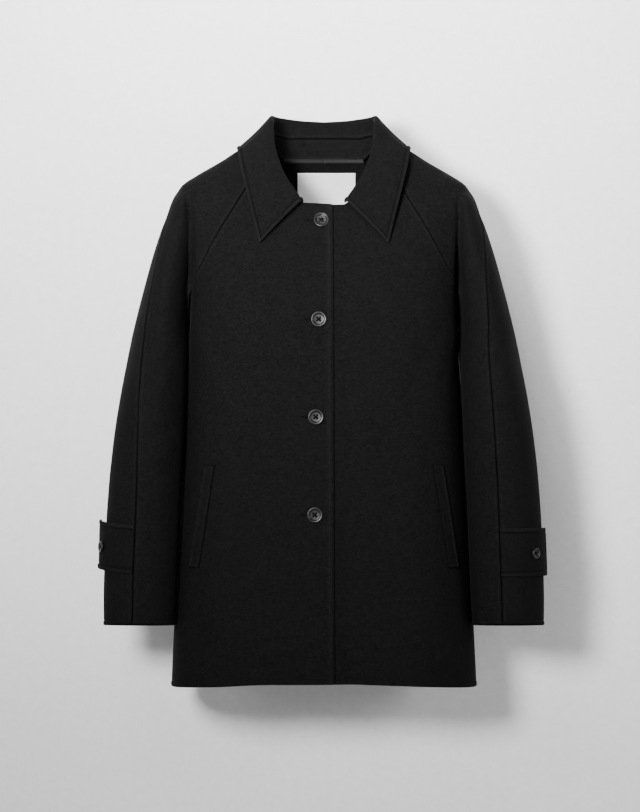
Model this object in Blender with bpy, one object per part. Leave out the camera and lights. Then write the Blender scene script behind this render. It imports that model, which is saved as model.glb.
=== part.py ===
"""Short raglan coat of thick double-faced wool, buttoned and filled out, with nobody in it.

The coat hangs from its shoulders with the front towards -Y. Sizes are in millimetres until a mesh is made.
Its cloth is cut out of horizontal sections: each section is one line that runs from the centre front, over
the chest, into the fold beside the sleeve, round the sleeve and back to the centre back. Seams are places on
that line, so neighbouring panels share their edges and stay a seam's gap apart.
"""

import math

import bmesh
import bpy
import numpy as np
from mathutils import Vector

MM = 0.001

# Cloth and seams
CLOTH = 2.4
SEAM_GAP = 0.36
LAYER_GAP = 0.5
TRIM_GAP = 0.3

# Heights, from the back neck seam
ARMPIT_Z = -250.0
SHOULDER_Z = -36.0
CUFF_Z = -648.0
CUFF_BACK_DROP = 4.0
FRONT_HEM_Z, SIDE_HEM_Z, BACK_HEM_Z = -725.0, -734.0, -735.0
HEM_LEVEL_Z = -730.0
FRONT_NECK_Z = -66.0

# Front closing: the panel on the viewer's left lies on top
TOP_EDGE_AT_NECK, TOP_EDGE_AT_HEM = 12.9, 15.3
UNDERLAP = 24.0
SINK_FROM, SINK_TO = 62.0, 30.0

# Mesh density
SAMPLES = 420
TURN_WEIGHT = 12.0
FRONT_STEPS, BACK_HALF_COLUMNS, SLEEVE_STEPS = (2, 3, 8), 9, (4, 8)
FIRST_SHARE_ON_TOP = {"front": 0.56, "back": 0.5}
COLLAR_ROWS, TRIM_ROWS = 35, 9
BUTTON_SIDES = 16

RIGHT, LEFT = -1, 1
UPPER_ROWS = (-250, -232, -212, -190, -178, -166, -154, -142, -118, -95, -78)
UPPER_ROWS += (-66, -64, -52, -44, -36, -22, -8, 0, 5, 14, 22)
BODY_ROWS = (-275, -310, -370, -440, -510, -580, -640, -665, -730)
SLEEVE_ROWS = (-275, -305, -345, -395, -450, -505, -560, -610, -648)


def table(columns, *rows):
    """The columns of a table by name, each an array in order of the first column."""
    values = np.array(sorted(rows), float)
    return {name: values[:, k] for k, name in enumerate(columns.split())}


# One row for each level section of the body: half width at the side, middle in depth, depth of the front and
# back from that middle, squareness of the curve, and how far the fold beside the sleeve is filled.
BODY = table(
    "z side mid front back square fill",
    (30, 88, 10, 12, 14, 2.2, 0.4),
    (14, 119, 10, 24, 30, 2.2, 0.4),
    (0, 140, 9, 33, 43, 2.3, 0.4),
    (-20, 174, 7, 44, 58, 2.4, 0.4),
    (-36, 198, 5, 53, 69, 2.5, 0.6),
    (-56, 203, 4, 65, 79, 2.7, 8),
    (-95, 198, 2, 84, 92, 3.0, 8),
    (-134, 191, 0, 97, 100, 3.2, 8),
    (-193, 185.5, 0, 106, 104, 3.2, 6),
    (-232, 185, 0, 109, 104, 3.2, 5),
    (-250, 187, 0, 109, 103, 3.2, 5),
    (-275, 187.8, 0, 110, 102, 3.2, 2),
    (-300, 188.8, 0, 110, 102, 3.2, 2),
    (-350, 190.9, 0, 110, 102, 3.2, 2),
    (-450, 197.3, 0, 113, 105, 3.1, 2),
    (-550, 202.6, 0, 118, 110, 3.0, 2),
    (-620, 206.5, 0, 122, 114, 3.0, 2),
    (-665, 210, 0, 124, 116, 2.9, 2),
    (-740, 213.5, 0, 127, 119, 2.9, 2),
)

# One row for each level section of a sleeve: its inner and outer side from the coat's middle, its half depth
# and its middle in depth.
SLEEVE = table(
    "z inner outer depth mid",
    (-36, 186, 198, 2, 5),
    (-56, 180, 211, 42, 4),
    (-75, 180, 218, 52, 3),
    (-95, 179, 226, 59, 2),
    (-134, 181.5, 239, 69, 0),
    (-193, 187, 255, 77, 0),
    (-232, 190.5, 264.7, 79.5, 0),
    (-250, 188.4, 269, 80, 0),
    (-275, 188.8, 273.7, 79, -6),
    (-300, 189.7, 277.9, 77, -14),
    (-350, 191.4, 285.6, 73, -27),
    (-450, 196.7, 298.0, 64, -38),
    (-550, 201.4, 303.5, 56, -44),
    (-610, 203.8, 305.2, 52, -46),
    (-660, 206, 304.8, 50, -46),
)

# Where the seam on top of each sleeve lies, as an angle from its front towards its outer side.
OVERARM = table(
    "z right left",
    (-36, 90, 90),
    (-56, 76, 74),
    (-95, 58, 50),
    (-134, 42, 26),
    (-193, 34, 8),
    (-300, 24, -7),
    (-490, 9, -11),
    (-660, 9, -12),
)

# Distance from the coat's middle of the raglan seams, front and back.
RAGLAN_FRONT = table("z x", (6, 77), (-12, 91), (-36, 105), (-55, 116), (-112, 150), (-164, 177))
RAGLAN_BACK = table("z x", (0, 58), (-40, 92), (-90, 128), (-135, 156), (-164, 176))

# Where the raglan seam runs down inside the fold: its distance from the fold's bottom, the width of sleeve
# cloth that the first columns of the sleeve take up there and just below the armpit, and the depth the fold
# is filled to.
RAGLAN_IN_FOLD_Z, NO_FOLD_Z, SLEEVE_EVEN_Z = -150.0, -70.0, -330.0
FLOOR_FILL = 3.0
FOLD = table(
    "z strip first floor",
    (-70, 40, 40, 0),
    (-118, 40, 40, 28),
    (-154, 31, 31, 38),
    (-166, 19, 21, 37),
    (-178, 8, 14, 36),
    (-190, 0, 11, 34),
    (-212, 0, 11, 22),
    (-232, 0, 11, 10),
    (-250, 0, 11, 6),
)

# Distance from the coat's middle of the neck edge, front and back.
NECK_FRONT = table(
    "z x",
    (-64, 28), (-60, 33), (-50, 42), (-30, 56), (-10, 68), (5, 75), (14, 80), (22, 84), (30, 88),
)
NECK_BACK = table("z x", (0, 58), (10, 68), (20, 78), (30, 88))

# Soft upright folds: place at the top and at the hem, half width, rise at the hem, and the height they
# start at.
FRONT_FOLDS = (
    dict(top=-148, hem=-142, width=26, rise=6, start=-200),
    dict(top=-72, hem=-88, width=34, rise=-9, start=-180),
    dict(top=-6, hem=-14, width=34, rise=4, start=-260),
    dict(top=34, hem=44, width=28, rise=-7, start=-190),
    dict(top=116, hem=134, width=40, rise=6, start=-220),
)
BACK_FOLDS = (
    dict(top=-96, hem=-118, width=38, rise=8, start=-240),
    dict(top=-40, hem=-48, width=34, rise=-8, start=-230),
    dict(top=22, hem=26, width=36, rise=5, start=-300),
    dict(top=84, hem=92, width=32, rise=-7, start=-240),
    dict(top=136, hem=150, width=26, rise=6, start=-260),
)

# Collar, one row for each station from the centre back to the front end: share of the neck edge's length
# that the stand starts from, the stand's share of the height to the roll line, that line and its radius,
# the outer edge, and how far the fall arches out to it.
COLLAR = table(
    "station neck stand roll_x roll_y roll_z radius edge_x edge_y edge_z arch",
    (0.0, 0.0, 0.58, 0, 56, 58, 5, 0, 71, -14, 3),
    (0.18, 0.17, 0.56, 34, 52, 59.5, 5, 46, 69, -12, 2.5),
    (0.34, 0.31, 0.47, 56, 41, 61.5, 4.4, 88, 54, -3, 1),
    (0.48, 0.40, 0.32, 66.5, 23, 62, 4.2, 116, 24, 12, -1.5),
    (0.58, 0.455, 0.24, 68.5, 6, 55, 4.8, 121, -4, 14, -1.5),
    (0.70, 0.54, 0.16, 67, -16, 28, 6, 116, -40, -12, 1.5),
    (0.84, 0.765, 0.05, 57, -44, -12, 6, 104, -72, -60, 3),
    (1.0, 1.0, 0.0, 29, -74, -59, 6, 89, -96, -121, 3),
)
STAND_END = 0.62
NECK_SEAM_HEIGHT = 2.6
ROLL_SHARE = 0.32
COLLAR_CLEARANCE = CLOTH + 1.4

# Pocket welts: inner edge at the top and the bottom, and width across the front.
WELT_TOP_X, WELT_TOP_Z = 149.0, -425.0
WELT_LOW_X, WELT_LOW_Z = 171.0, -567.0
WELT_WIDTH = 14.5
WELT_THICK = 2.0

# Cuff tabs: length round the sleeve, height, and the height of their top edge.
TAB_LENGTH, TAB_HEIGHT, TAB_THICK = 95.0, 66.0, 2.4
TAB_LIFT = {RIGHT: 8.5, LEFT: 1.5}
TAB_TOP_Z = {RIGHT: -508.0, LEFT: -512.0}
TAB_SLANT = {RIGHT: 6.0, LEFT: -1.0}
TAB_BUTTON_FROM_END = {RIGHT: 38.0, LEFT: 45.0}
TAB_FROM_SEAM = 0.8

# Buttons
FRONT_BUTTONS = ((-3.5, -88.6), (-7.0, -225.4), (-11.0, -359.4), (-12.4, -493.5))
FRONT_BUTTON_ACROSS, CUFF_BUTTON_ACROSS = 22.0, 15.0
BUTTON_THICK = 3.4

# Inside the back neck
TAPE_LOW, TAPE_HIGH, TAPE_THICK, TAPE_END = -1.6, 4.2, 1.0, 0.25
LABEL_MIDDLE_X, LABEL_WIDTH, LABEL_HEIGHT, LABEL_THICK = 4.0, 82.0, 48.0, 1.0
LABEL_TOP_Z = -13.0

WOOL = dict(color=(0.011, 0.011, 0.012), roughness=0.92)
SATIN = dict(color=(0.05, 0.05, 0.052), roughness=0.4)
LABEL_CLOTH = dict(color=(0.78, 0.78, 0.77), roughness=0.6)
HORN = dict(color=(0.06, 0.06, 0.062), roughness=0.38)


def smooth_curve(xs, ys, x):
    """A cubic curve through the points (xs, ys) that doesn't overshoot them, read at x."""
    step = np.diff(xs)
    rise = np.diff(ys) / step
    product = rise[:-1] * rise[1:]
    total = np.where(product > 0, rise[:-1] + rise[1:], 1.0)
    tangent = np.concatenate([rise[:1], np.where(product > 0, 2 * product / total, 0.0), rise[-1:]])
    k = np.clip(np.searchsorted(xs, x) - 1, 0, len(step) - 1)
    t = np.clip((x - xs[k]) / step[k], 0, 1)
    share = 3 * t**2 - 2 * t**3
    ends = ys[k] * (1 - share) + ys[k + 1] * share
    return ends + step[k] * (tangent[k] * (t - 2 * t**2 + t**3) + tangent[k + 1] * (t**3 - t**2))


def column(rows, name, z):
    """A table's column at the heights z."""
    key = "z" if "z" in rows else "station"
    return smooth_curve(rows[key], rows[name], np.asarray(z, float))


def smooth_step(t):
    t = np.clip(t, 0, 1)
    return t * t * (3 - 2 * t)


def signed_root(value, power):
    return np.sign(value) * np.abs(value) ** power


def relief(folds, x, z):
    """How far the upright folds push the cloth out at (x, z)."""
    total = 0.0
    for fold in folds:
        share = smooth_step((fold["start"] - z) / (fold["start"] - HEM_LEVEL_Z))
        middle = fold["top"] + (fold["hem"] - fold["top"]) * share
        total = total + fold["rise"] * share * np.exp(-(((x - middle) / fold["width"]) ** 2))
    return total


def body_depth(x, z, face):
    """Depth of the body's front or back face from its middle, at (x, z), negative past its side."""
    square = column(BODY, "square", z)
    inside = 1 - (np.abs(x) / column(BODY, "side", z)) ** square
    share = signed_root(inside, 1 / square)
    folds = FRONT_FOLDS if face == "front" else BACK_FOLDS
    return share * column(BODY, face, z) + np.clip(share, 0, 1) ** 2 * relief(folds, x, z)


def sleeve_depth(x, z):
    """Depth of the sleeve's front or back face from its middle, at (x, z), negative past its sides."""
    inner, outer = column(SLEEVE, "inner", z), column(SLEEVE, "outer", z)
    across = (np.abs(x) - (inner + outer) / 2) / ((outer - inner) / 2)
    return column(SLEEVE, "depth", z) * signed_root(1 - across**2, 0.5)


def coat_depth(x, z, face):
    """Depth of body and sleeve together above the armpit: the larger, with the fold between them filled."""
    body, sleeve = body_depth(x, z, face), sleeve_depth(x, z)
    depth = (body + sleeve + np.sqrt((body - sleeve) ** 2 + column(BODY, "fill", z) ** 2)) / 2
    crest = (column(SLEEVE, "inner", z) + column(SLEEVE, "outer", z)) / 2
    floor = column(FOLD, "floor", z)
    filled = (depth + floor + np.sqrt((depth - floor) ** 2 + FLOOR_FILL**2)) / 2
    return np.where(np.abs(x) < crest, filled, depth)


def surface_point(x, z, face):
    """The point of the body's front or back at (x, z), and the direction out of the cloth there."""
    step = 0.5
    sign = -1 if face == "front" else 1
    depth = body_depth(x, z, face)
    across = (body_depth(x + step, z, face) - body_depth(x - step, z, face)) / (2 * step)
    down = (body_depth(x, z + step, face) - body_depth(x, z - step, face)) / (2 * step)
    point = np.stack(np.broadcast_arrays(x, column(BODY, "mid", z) + sign * depth, z), -1)
    out = np.stack(np.broadcast_arrays(-across, float(sign), -down), -1)
    return point, out / np.linalg.norm(out, axis=-1, keepdims=True)


def towards_end(start, end):
    """Places from start to end that crowd together at the end, where a section turns round a side."""
    return start + (end - start) * (1 - (1 - np.linspace(0, 1, SAMPLES)) ** 3)


class Section:
    """One level section line: its points, its length along them, and where its places lie on it."""

    def __init__(self, points, turn):
        self.points = points
        self.turn = turn
        step = np.diff(points, axis=0)
        length = np.linalg.norm(step, axis=1)
        way = step / np.maximum(length, 1e-9)[:, None]
        bend = np.arccos(np.clip(np.sum(way[1:] * way[:-1], axis=1), -1, 1))
        bend = np.where(np.minimum(length[1:], length[:-1]) > 1e-6, bend, 0)
        self.length = np.concatenate([[0], np.cumsum(length)])
        self.measure = self.length + TURN_WEIGHT * np.concatenate([[0], np.cumsum(bend), [bend.sum()]])

    def point(self, at):
        return np.stack([np.interp(at, self.length, self.points[:, k]) for k in range(3)], -1)

    def spread(self, start, end, count):
        """Count points from start to end, closer together in bends, and the line's direction at each."""
        first, last = np.interp((start, end), self.length, self.measure)
        at = np.interp(np.linspace(first, last, count), self.measure, self.length)
        reach = 1.2
        ahead = self.point(at + reach) - self.point(at - reach)
        return self.point(at), ahead / np.linalg.norm(ahead, axis=1, keepdims=True)


class CoatSection(Section):
    """The section of half the coat at height z, from past the centre front round to past the centre back.

    Above the armpit its side is the sleeve's, below it the body's.
    """

    def __init__(self, z, side):
        joined = ARMPIT_Z < z < SHOULDER_Z
        depth = coat_depth if joined else body_depth
        widest = float(column(BODY, "side", z))
        if joined:
            widest = max(widest, float(column(SLEEVE, "outer", z)))
        across = towards_end(-60.0, widest)
        mid = float(column(BODY, "mid", z))
        halves = []
        for face, sign in (("front", -1), ("back", 1)):
            deep = np.maximum(depth(side * across, z, face), 0)
            halves.append(np.stack([side * across, mid + sign * deep, np.full(SAMPLES, float(z))], 1))
        super().__init__(np.concatenate([halves[0], halves[1][::-1]]), SAMPLES)
        self.across = across

    def front(self, x):
        """Length along the line at the distance x from the middle, on the front."""
        return float(np.interp(x, self.across, self.length[: self.turn]))

    def back(self, x):
        return float(np.interp(x, self.across, self.length[self.turn :][::-1]))


class SleeveSection(Section):
    """The closed section of a sleeve below the armpit, from its inner side over the front and outer side."""

    OVERRUN = math.radians(12)

    def __init__(self, z, side):
        inner, outer = float(column(SLEEVE, "inner", z)), float(column(SLEEVE, "outer", z))
        depth, mid = float(column(SLEEVE, "depth", z)), float(column(SLEEVE, "mid", z))
        self.angle = np.linspace(-math.pi / 2 - self.OVERRUN, 1.5 * math.pi + self.OVERRUN, 2 * SAMPLES)
        x = (inner + outer) / 2 + (outer - inner) / 2 * np.sin(self.angle)
        y = mid - depth * np.cos(self.angle)
        super().__init__(np.stack([side * x, y, np.full(len(x), float(z))], 1), 0)

    def at_angle(self, angle):
        return float(np.interp(angle, self.angle, self.length))


def overarm_angle(z, side):
    return math.radians(float(column(OVERARM, "right" if side == RIGHT else "left", z)))


def overarm_x(z, side):
    """Distance from the coat's middle of the seam on top of the sleeve, above the armpit."""
    if z >= SHOULDER_Z:
        return float(column(BODY, "side", z))
    inner, outer = float(column(SLEEVE, "inner", z)), float(column(SLEEVE, "outer", z))
    return (inner + outer) / 2 + (outer - inner) / 2 * math.sin(overarm_angle(z, side))


def fold_x(z, side, face):
    """Distance from the coat's middle of the bottom of the fold between body and sleeve."""
    inner, outer = float(column(SLEEVE, "inner", z)), float(column(SLEEVE, "outer", z))
    across = np.linspace(inner - 12, (inner + outer) / 2, SAMPLES)
    depth = coat_depth(side * across, z, face)
    return float(across[depth < depth.min() + 0.01].mean())


def seam_at(section, z, side, face):
    """Length along a section's line of a body panel's outer edge: raglan seam or side seam."""
    place = section.front if face == "front" else section.back
    if z <= ARMPIT_Z:
        return place(float(column(BODY, "side", z)))
    if z < RAGLAN_IN_FOLD_Z:
        strip = float(column(FOLD, "strip", z))
        return place(fold_x(z, side, face)) + (-strip if face == "front" else strip)
    return place(float(column(RAGLAN_FRONT if face == "front" else RAGLAN_BACK, "x", z)))


def front_edge_x(z, side):
    """Signed distance of a front panel's closing edge, towards its own side."""
    if z > FRONT_NECK_Z + 1:
        return float(column(NECK_FRONT, "x", z))
    if side == LEFT:
        return -UNDERLAP
    share = (z - FRONT_NECK_Z) / (FRONT_HEM_Z - FRONT_NECK_Z)
    return -(TOP_EDGE_AT_NECK + (TOP_EDGE_AT_HEM - TOP_EDGE_AT_NECK) * share)


def slope(points, axis):
    """Directions along one axis of a grid of points, true where their spacing is uneven."""
    points = np.moveaxis(points, axis, 0)
    step = np.diff(points, axis=0)
    length = np.maximum(np.linalg.norm(step, axis=-1, keepdims=True), 1e-9)
    way = step / length
    between = (way[:-1] * length[1:] + way[1:] * length[:-1]) / (length[:-1] + length[1:])
    return np.moveaxis(np.concatenate([way[:1], between, way[-1:]]), 0, axis)


def panel(rows):
    """Points and outward directions of a panel from its rows of (points, line directions)."""
    points = np.stack([row[0] for row in rows])
    along = np.stack([row[1] for row in rows])
    out = np.cross(along, slope(points, 0))
    return points, out / np.linalg.norm(out, axis=2, keepdims=True)


def facing(points, out, direction):
    """Turns the outward directions round where the panel's middle faces away from a direction."""
    middle = out[out.shape[0] // 2, out.shape[1] // 2]
    return points, out if np.dot(middle, direction) > 0 else -out


def shape_hem(points, edge_z, level_z, start_z):
    """Draws the rows below start_z down or up so that the lowest row follows edge_z."""
    share = np.clip((start_z - points[..., 2]) / (start_z - level_z), 0, 1) ** 2
    points[..., 2] += share * (edge_z - level_z)
    return points


def front_stops(section, z, side):
    """Lengths along the line where the stretches of a front's columns start and end.

    Both fronts have the same columns where they overlap, the lower one also where it sinks under the other.
    """
    last = seam_at(section, z, side, "front") - SEAM_GAP / 2
    first = section.front(front_edge_x(z, side))
    if z > FRONT_NECK_Z + 1:
        return [first + (last - first) * share for share in (0, 0.2, 0.4, 1)]
    overlap = UNDERLAP if side == RIGHT else -front_edge_x(z, RIGHT)
    return [first, section.front(overlap), section.front(SINK_FROM), last]


def spread_stretches(section, stops, counts):
    """Points and directions through several stretches of a section, each with its own count of steps."""
    parts = [section.spread(start, end, count + 1) for start, end, count in zip(stops, stops[1:], counts)]
    return [np.concatenate([part[kind][:-1] for part in parts[:-1]] + [parts[-1][kind]]) for kind in (0, 1)]


def front_panel(side):
    rows = []
    for z in sorted(set(UPPER_ROWS + BODY_ROWS)):
        if z > 5:
            continue
        section = CoatSection(z, side)
        rows.append(spread_stretches(section, front_stops(section, z, side), FRONT_STEPS))
    points, out = facing(*panel(rows), (0, -1, 0))
    share = np.abs(points[..., 0]) / column(BODY, "side", points[..., 2])
    points = shape_hem(points, FRONT_HEM_Z + (SIDE_HEM_Z - FRONT_HEM_Z) * share**2, HEM_LEVEL_Z, -600.0)
    if side == LEFT:
        under = smooth_step((SINK_FROM - points[..., 0]) / (SINK_FROM - SINK_TO))
        points = points - out * (under * (CLOTH + LAYER_GAP))[..., None]
    return points, out


def back_panel():
    rows = []
    for z in sorted(set(UPPER_ROWS + BODY_ROWS)):
        if z > 0:
            continue
        halves = []
        for side in (RIGHT, LEFT):
            section = CoatSection(z, side)
            start = seam_at(section, z, side, "back") + SEAM_GAP / 2
            halves.append(section.spread(start, section.back(0.0), BACK_HALF_COLUMNS))
        (right, right_along), (left, left_along) = halves
        along = np.concatenate([right_along, -left_along[-2::-1]])
        rows.append((np.concatenate([right, left[-2::-1]]), along))
    points, out = facing(*panel(rows), (0, 1, 0))
    share = np.abs(points[..., 0]) / column(BODY, "side", points[..., 2])
    points = shape_hem(points, BACK_HEM_Z + (SIDE_HEM_Z - BACK_HEM_Z) * share**2, HEM_LEVEL_Z, -600.0)
    return points, out


def sleeve_ends(section, z, side, face):
    """Lengths along a section's line of a sleeve half's edges, at the body and on top of the sleeve."""
    if z <= ARMPIT_Z:
        inner = section.at_angle(-math.pi / 2 if face == "front" else 1.5 * math.pi)
        return inner, section.at_angle(overarm_angle(z, side))
    top = section.front(overarm_x(z, side))
    if z <= (5 if face == "front" else 0):
        return seam_at(section, z, side, face), top
    if face == "front":
        return section.front(float(column(NECK_FRONT, "x", z))), top
    return section.back(float(column(NECK_BACK, "x", z))), top


def fold_share(section, z, side, face, width):
    """Share of a sleeve half's width, from the body's seam, that its first columns cover: up to the fold."""
    even = SLEEVE_STEPS[0] / sum(SLEEVE_STEPS)
    if z > NO_FOLD_Z:
        return FIRST_SHARE_ON_TOP[face]
    if z > RAGLAN_IN_FOLD_Z:
        place = section.front if face == "front" else section.back
        return abs(place(fold_x(z, side, face)) - seam_at(section, z, side, face)) / width
    first = float(column(FOLD, "first", z)) / width
    return first + (even - first) * float(smooth_step((ARMPIT_Z - z) / (ARMPIT_Z - SLEEVE_EVEN_Z)))


def sleeve_row(z, side, face):
    """One row of a sleeve's front or back half, from the body's seam to the seam on top."""
    section = CoatSection(z, side) if z > ARMPIT_Z else SleeveSection(z, side)
    body, top = sleeve_ends(section, z, side, face)
    way = 1 if top > body else -1
    body, top = body + way * SEAM_GAP / 2, top - way * SEAM_GAP / 2
    fold = body + (top - body) * fold_share(section, z, side, face, abs(top - body))
    return spread_stretches(section, (body, fold, top), SLEEVE_STEPS)


def sleeve_panel(side, face):
    rows = [sleeve_row(z, side, face) for z in sorted(set(UPPER_ROWS + SLEEVE_ROWS))]
    points, out = facing(*panel(rows), (0, -1, 0) if face == "front" else (side, 1, 0))
    depth = (points[..., 1] - column(SLEEVE, "mid", CUFF_Z)) / column(SLEEVE, "depth", CUFF_Z)
    points = shape_hem(points, CUFF_Z - CUFF_BACK_DROP * np.clip(depth, -1, 1), CUFF_Z, -560.0)
    return points, out


def neck_edge(shares):
    """Points of the neck edge on the side of +X, at shares of its length from the centre back forwards."""
    low = np.linspace(30, -64, 90)
    front_x = column(NECK_FRONT, "x", low)
    front = np.stack([front_x, column(BODY, "mid", low) - body_depth(front_x, low, "front"), low], 1)
    rise = np.linspace(0, 29, 40)
    back_x = column(NECK_BACK, "x", rise)
    back = np.stack([back_x, column(BODY, "mid", rise) + body_depth(back_x, rise, "back"), rise], 1)
    flat_x = np.linspace(0, 56, 20)
    flat = np.stack([flat_x, column(BODY, "mid", 0.0) + body_depth(flat_x, 0.0, "back"), np.zeros(20)], 1)
    line = np.concatenate([flat, back, front])
    length = np.concatenate([[0], np.cumsum(np.linalg.norm(np.diff(line, axis=0), axis=1))])
    return np.stack([np.interp(shares * length[-1], length, line[:, k]) for k in range(3)], 1)


def section_share(points):
    """How far out of the body's section points are: 1 on its outline, less inside."""
    z = points[..., 2]
    square = column(BODY, "square", z)
    y = points[..., 1] - column(BODY, "mid", z)
    deep = np.where(y < 0, column(BODY, "front", z), column(BODY, "back", z))
    across = np.abs(points[..., 0]) / column(BODY, "side", z)
    return (across**square + (np.abs(y) / deep) ** square) ** (1 / square)


def clear_of_body(points, clearance):
    """Moves points straight off the body's surface until they are that far from it."""
    step = 0.5
    moved = points.copy()
    for _ in range(4):
        outwards = np.stack([section_share(moved + step * axis) - section_share(moved - step * axis)
                             for axis in np.eye(3)], -1) / (2 * step)
        steep = np.linalg.norm(outwards, axis=-1)
        short = clearance - (section_share(moved) - 1) / steep
        push = np.where(moved[..., 2] < BODY["z"][-1], np.maximum(short, 0), 0)
        moved = moved + outwards / steep[..., None] * push[..., None]
    return moved


def unit(vectors):
    return vectors / np.linalg.norm(vectors, axis=-1, keepdims=True)


def collar_lines(rows):
    """For stations round half the neck: the neck edge, the roll line and the outer edge."""
    station = np.linspace(0, 1, rows)
    roll = np.stack([column(COLLAR, "roll_" + axis, station) for axis in "xyz"], 1)
    edge = np.stack([column(COLLAR, "edge_" + axis, station) for axis in "xyz"], 1)
    return neck_edge(column(COLLAR, "neck", station)), roll, clear_of_body(edge, COLLAR_CLEARANCE)


def stand_height(station, length):
    """Height of the seam between stand and collar above the neck edge, which it meets towards the front."""
    return np.maximum(column(COLLAR, "stand", station) * length, NECK_SEAM_HEIGHT)[:, None]


def stand_half(rows, columns):
    """The collar stand's inner face, from just above the neck edge to the seam with the collar."""
    neck, roll, _ = collar_lines(rows)
    station = np.linspace(0, 1, rows)
    rise = unit(roll - neck)
    top = stand_height(station, np.linalg.norm(roll - neck, axis=1)) - SEAM_GAP
    low = np.full_like(top, NECK_SEAM_HEIGHT)
    share = np.linspace(0, 1, columns)[None, :]
    points = neck[:, None] + rise[:, None] * (low + (top - low) * share)[..., None]
    return points[station < STAND_END]


def fall_half(rows, leg, turn, leaf):
    """The collar's shown face: up inside the neck from the stand, over the roll and down to its edge."""
    neck, roll, edge = collar_lines(rows)
    rise = unit(roll - neck)
    fall = unit(edge - roll)
    out = unit(fall - rise * np.sum(fall * rise, 1, keepdims=True))
    station = np.linspace(0, 1, rows)
    largest = ROLL_SHARE * np.linalg.norm(roll - neck, axis=1)
    radius = np.minimum(column(COLLAR, "radius", station), largest)[:, None]
    base = roll - rise * radius
    seam = neck + rise * stand_height(station, np.linalg.norm(roll - neck, axis=1))
    inner = seam[:, None] + (base - seam)[:, None] * np.linspace(0, 1, leg)[None, :, None]
    last = np.arccos(np.clip(np.sum(fall * rise, 1), -1, 1))
    angle = last[:, None] * np.linspace(0, 1, turn)[None, 1:]
    bend = base[:, None] + radius[:, None] * ((1 - np.cos(angle))[..., None] * out[:, None]
                                              + np.sin(angle)[..., None] * rise[:, None])
    share = np.linspace(0, 1, leaf)[None, 1:, None]
    outer = bend[:, -1:] + (edge - bend[:, -1])[:, None] * share
    arch = unit(np.cross(fall, np.gradient(edge, axis=0)))
    arch = arch * np.sign(np.sum(arch * out, 1, keepdims=True))
    height = column(COLLAR, "arch", station)[:, None, None]
    outer = outer + arch[:, None] * height * np.sin(math.pi * share)
    outer = clear_of_body(outer, COLLAR_CLEARANCE)
    return np.concatenate([inner, bend, outer], 1)


def whole_collar(half):
    """Both halves of a collar piece, from its front end on the right to the one on the left."""
    mirror = half[:0:-1] * np.array([-1, 1, 1])
    points = np.concatenate([mirror, half])
    return points, unit(np.cross(slope(points, 0), slope(points, 1)))


def wall_mesh(name, points, out, thick):
    """A closed wall: the shown face at the points, the other one thick behind it, and the rims between."""
    hidden = points - out * thick
    rows, columns = points.shape[:2]
    number = np.arange(rows * columns).reshape(rows, columns)
    corners = np.stack([number[:-1, :-1], number[1:, :-1], number[1:, 1:], number[:-1, 1:]], -1)
    corners = corners.reshape(-1, 4)
    ring = np.concatenate([number[0, :-1], number[:-1, -1], number[-1, :0:-1], number[:0:-1, 0]])
    following = np.roll(ring, -1)
    behind = rows * columns
    rims = np.stack([ring, following, following + behind, ring + behind], 1)
    faces = np.concatenate([corners, corners[:, ::-1] + behind, rims])
    mesh = bpy.data.meshes.new(name)
    corner_points = np.concatenate([points.reshape(-1, 3), hidden.reshape(-1, 3)]) * MM
    mesh.from_pydata(corner_points.tolist(), [], faces.tolist())
    work = bmesh.new()
    work.from_mesh(mesh)
    bmesh.ops.triangulate(work, faces=work.faces[:])
    bmesh.ops.recalc_face_normals(work, faces=work.faces[:])
    if work.calc_volume(signed=True) < 0:
        bmesh.ops.reverse_faces(work, faces=work.faces[:])
    work.to_mesh(mesh)
    work.free()
    return mesh


def material(name, color, roughness):
    made = bpy.data.materials.new(name)
    made.use_nodes = True
    shader = made.node_tree.nodes["Principled BSDF"]
    shader.inputs["Base Color"].default_value = (*color, 1.0)
    shader.inputs["Roughness"].default_value = roughness
    shader.inputs["Metallic"].default_value = 0.0
    return made


def add(name, mesh, finish, coat):
    """Links a piece under the coat's empty, shaded smooth but for its sharp edges."""
    piece = bpy.data.objects.new(name, mesh)
    bpy.context.scene.collection.objects.link(piece)
    mesh.materials.append(finish)
    mesh.shade_smooth()
    mesh.set_sharp_from_angle(angle=math.radians(50))
    piece.parent = coat
    return piece


def make_panels(coat, wool):
    for side, word in ((RIGHT, "right"), (LEFT, "left")):
        add(f"front_{word}", wall_mesh(f"front_{word}", *front_panel(side), CLOTH), wool, coat)
        for face in ("front", "back"):
            name = f"sleeve_{word}_{face}"
            add(name, wall_mesh(name, *sleeve_panel(side, face), CLOTH), wool, coat)
    add("back", wall_mesh("back", *back_panel(), CLOTH), wool, coat)


def make_collar(coat, wool):
    half_rows = (COLLAR_ROWS + 1) // 2
    points, out = whole_collar(stand_half(half_rows, 4))
    inwards = -np.sign(out[len(out) // 2, 1, 1])
    add("collar_stand", wall_mesh("collar_stand", points, out * inwards, CLOTH), wool, coat)
    points, out = whole_collar(fall_half(half_rows, 3, 5, 6))
    outwards = np.sign(out[len(out) // 2, -2, 1])
    add("collar", wall_mesh("collar", points, out * outwards, CLOTH), wool, coat)


def welt_panel(side):
    """A pocket welt: the front panel's own points inside its outline, moved out."""
    down = np.linspace(0, 1, TRIM_ROWS)[:, None]
    over = np.linspace(0, 1, 3)[None, :]
    x = side * (WELT_TOP_X + (WELT_LOW_X - WELT_TOP_X) * down + WELT_WIDTH * over)
    z = WELT_TOP_Z + (WELT_LOW_Z - WELT_TOP_Z) * down + 0 * over
    points, out = surface_point(x, z, "front")
    return points + out * (TRIM_GAP + WELT_THICK), out


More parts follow.
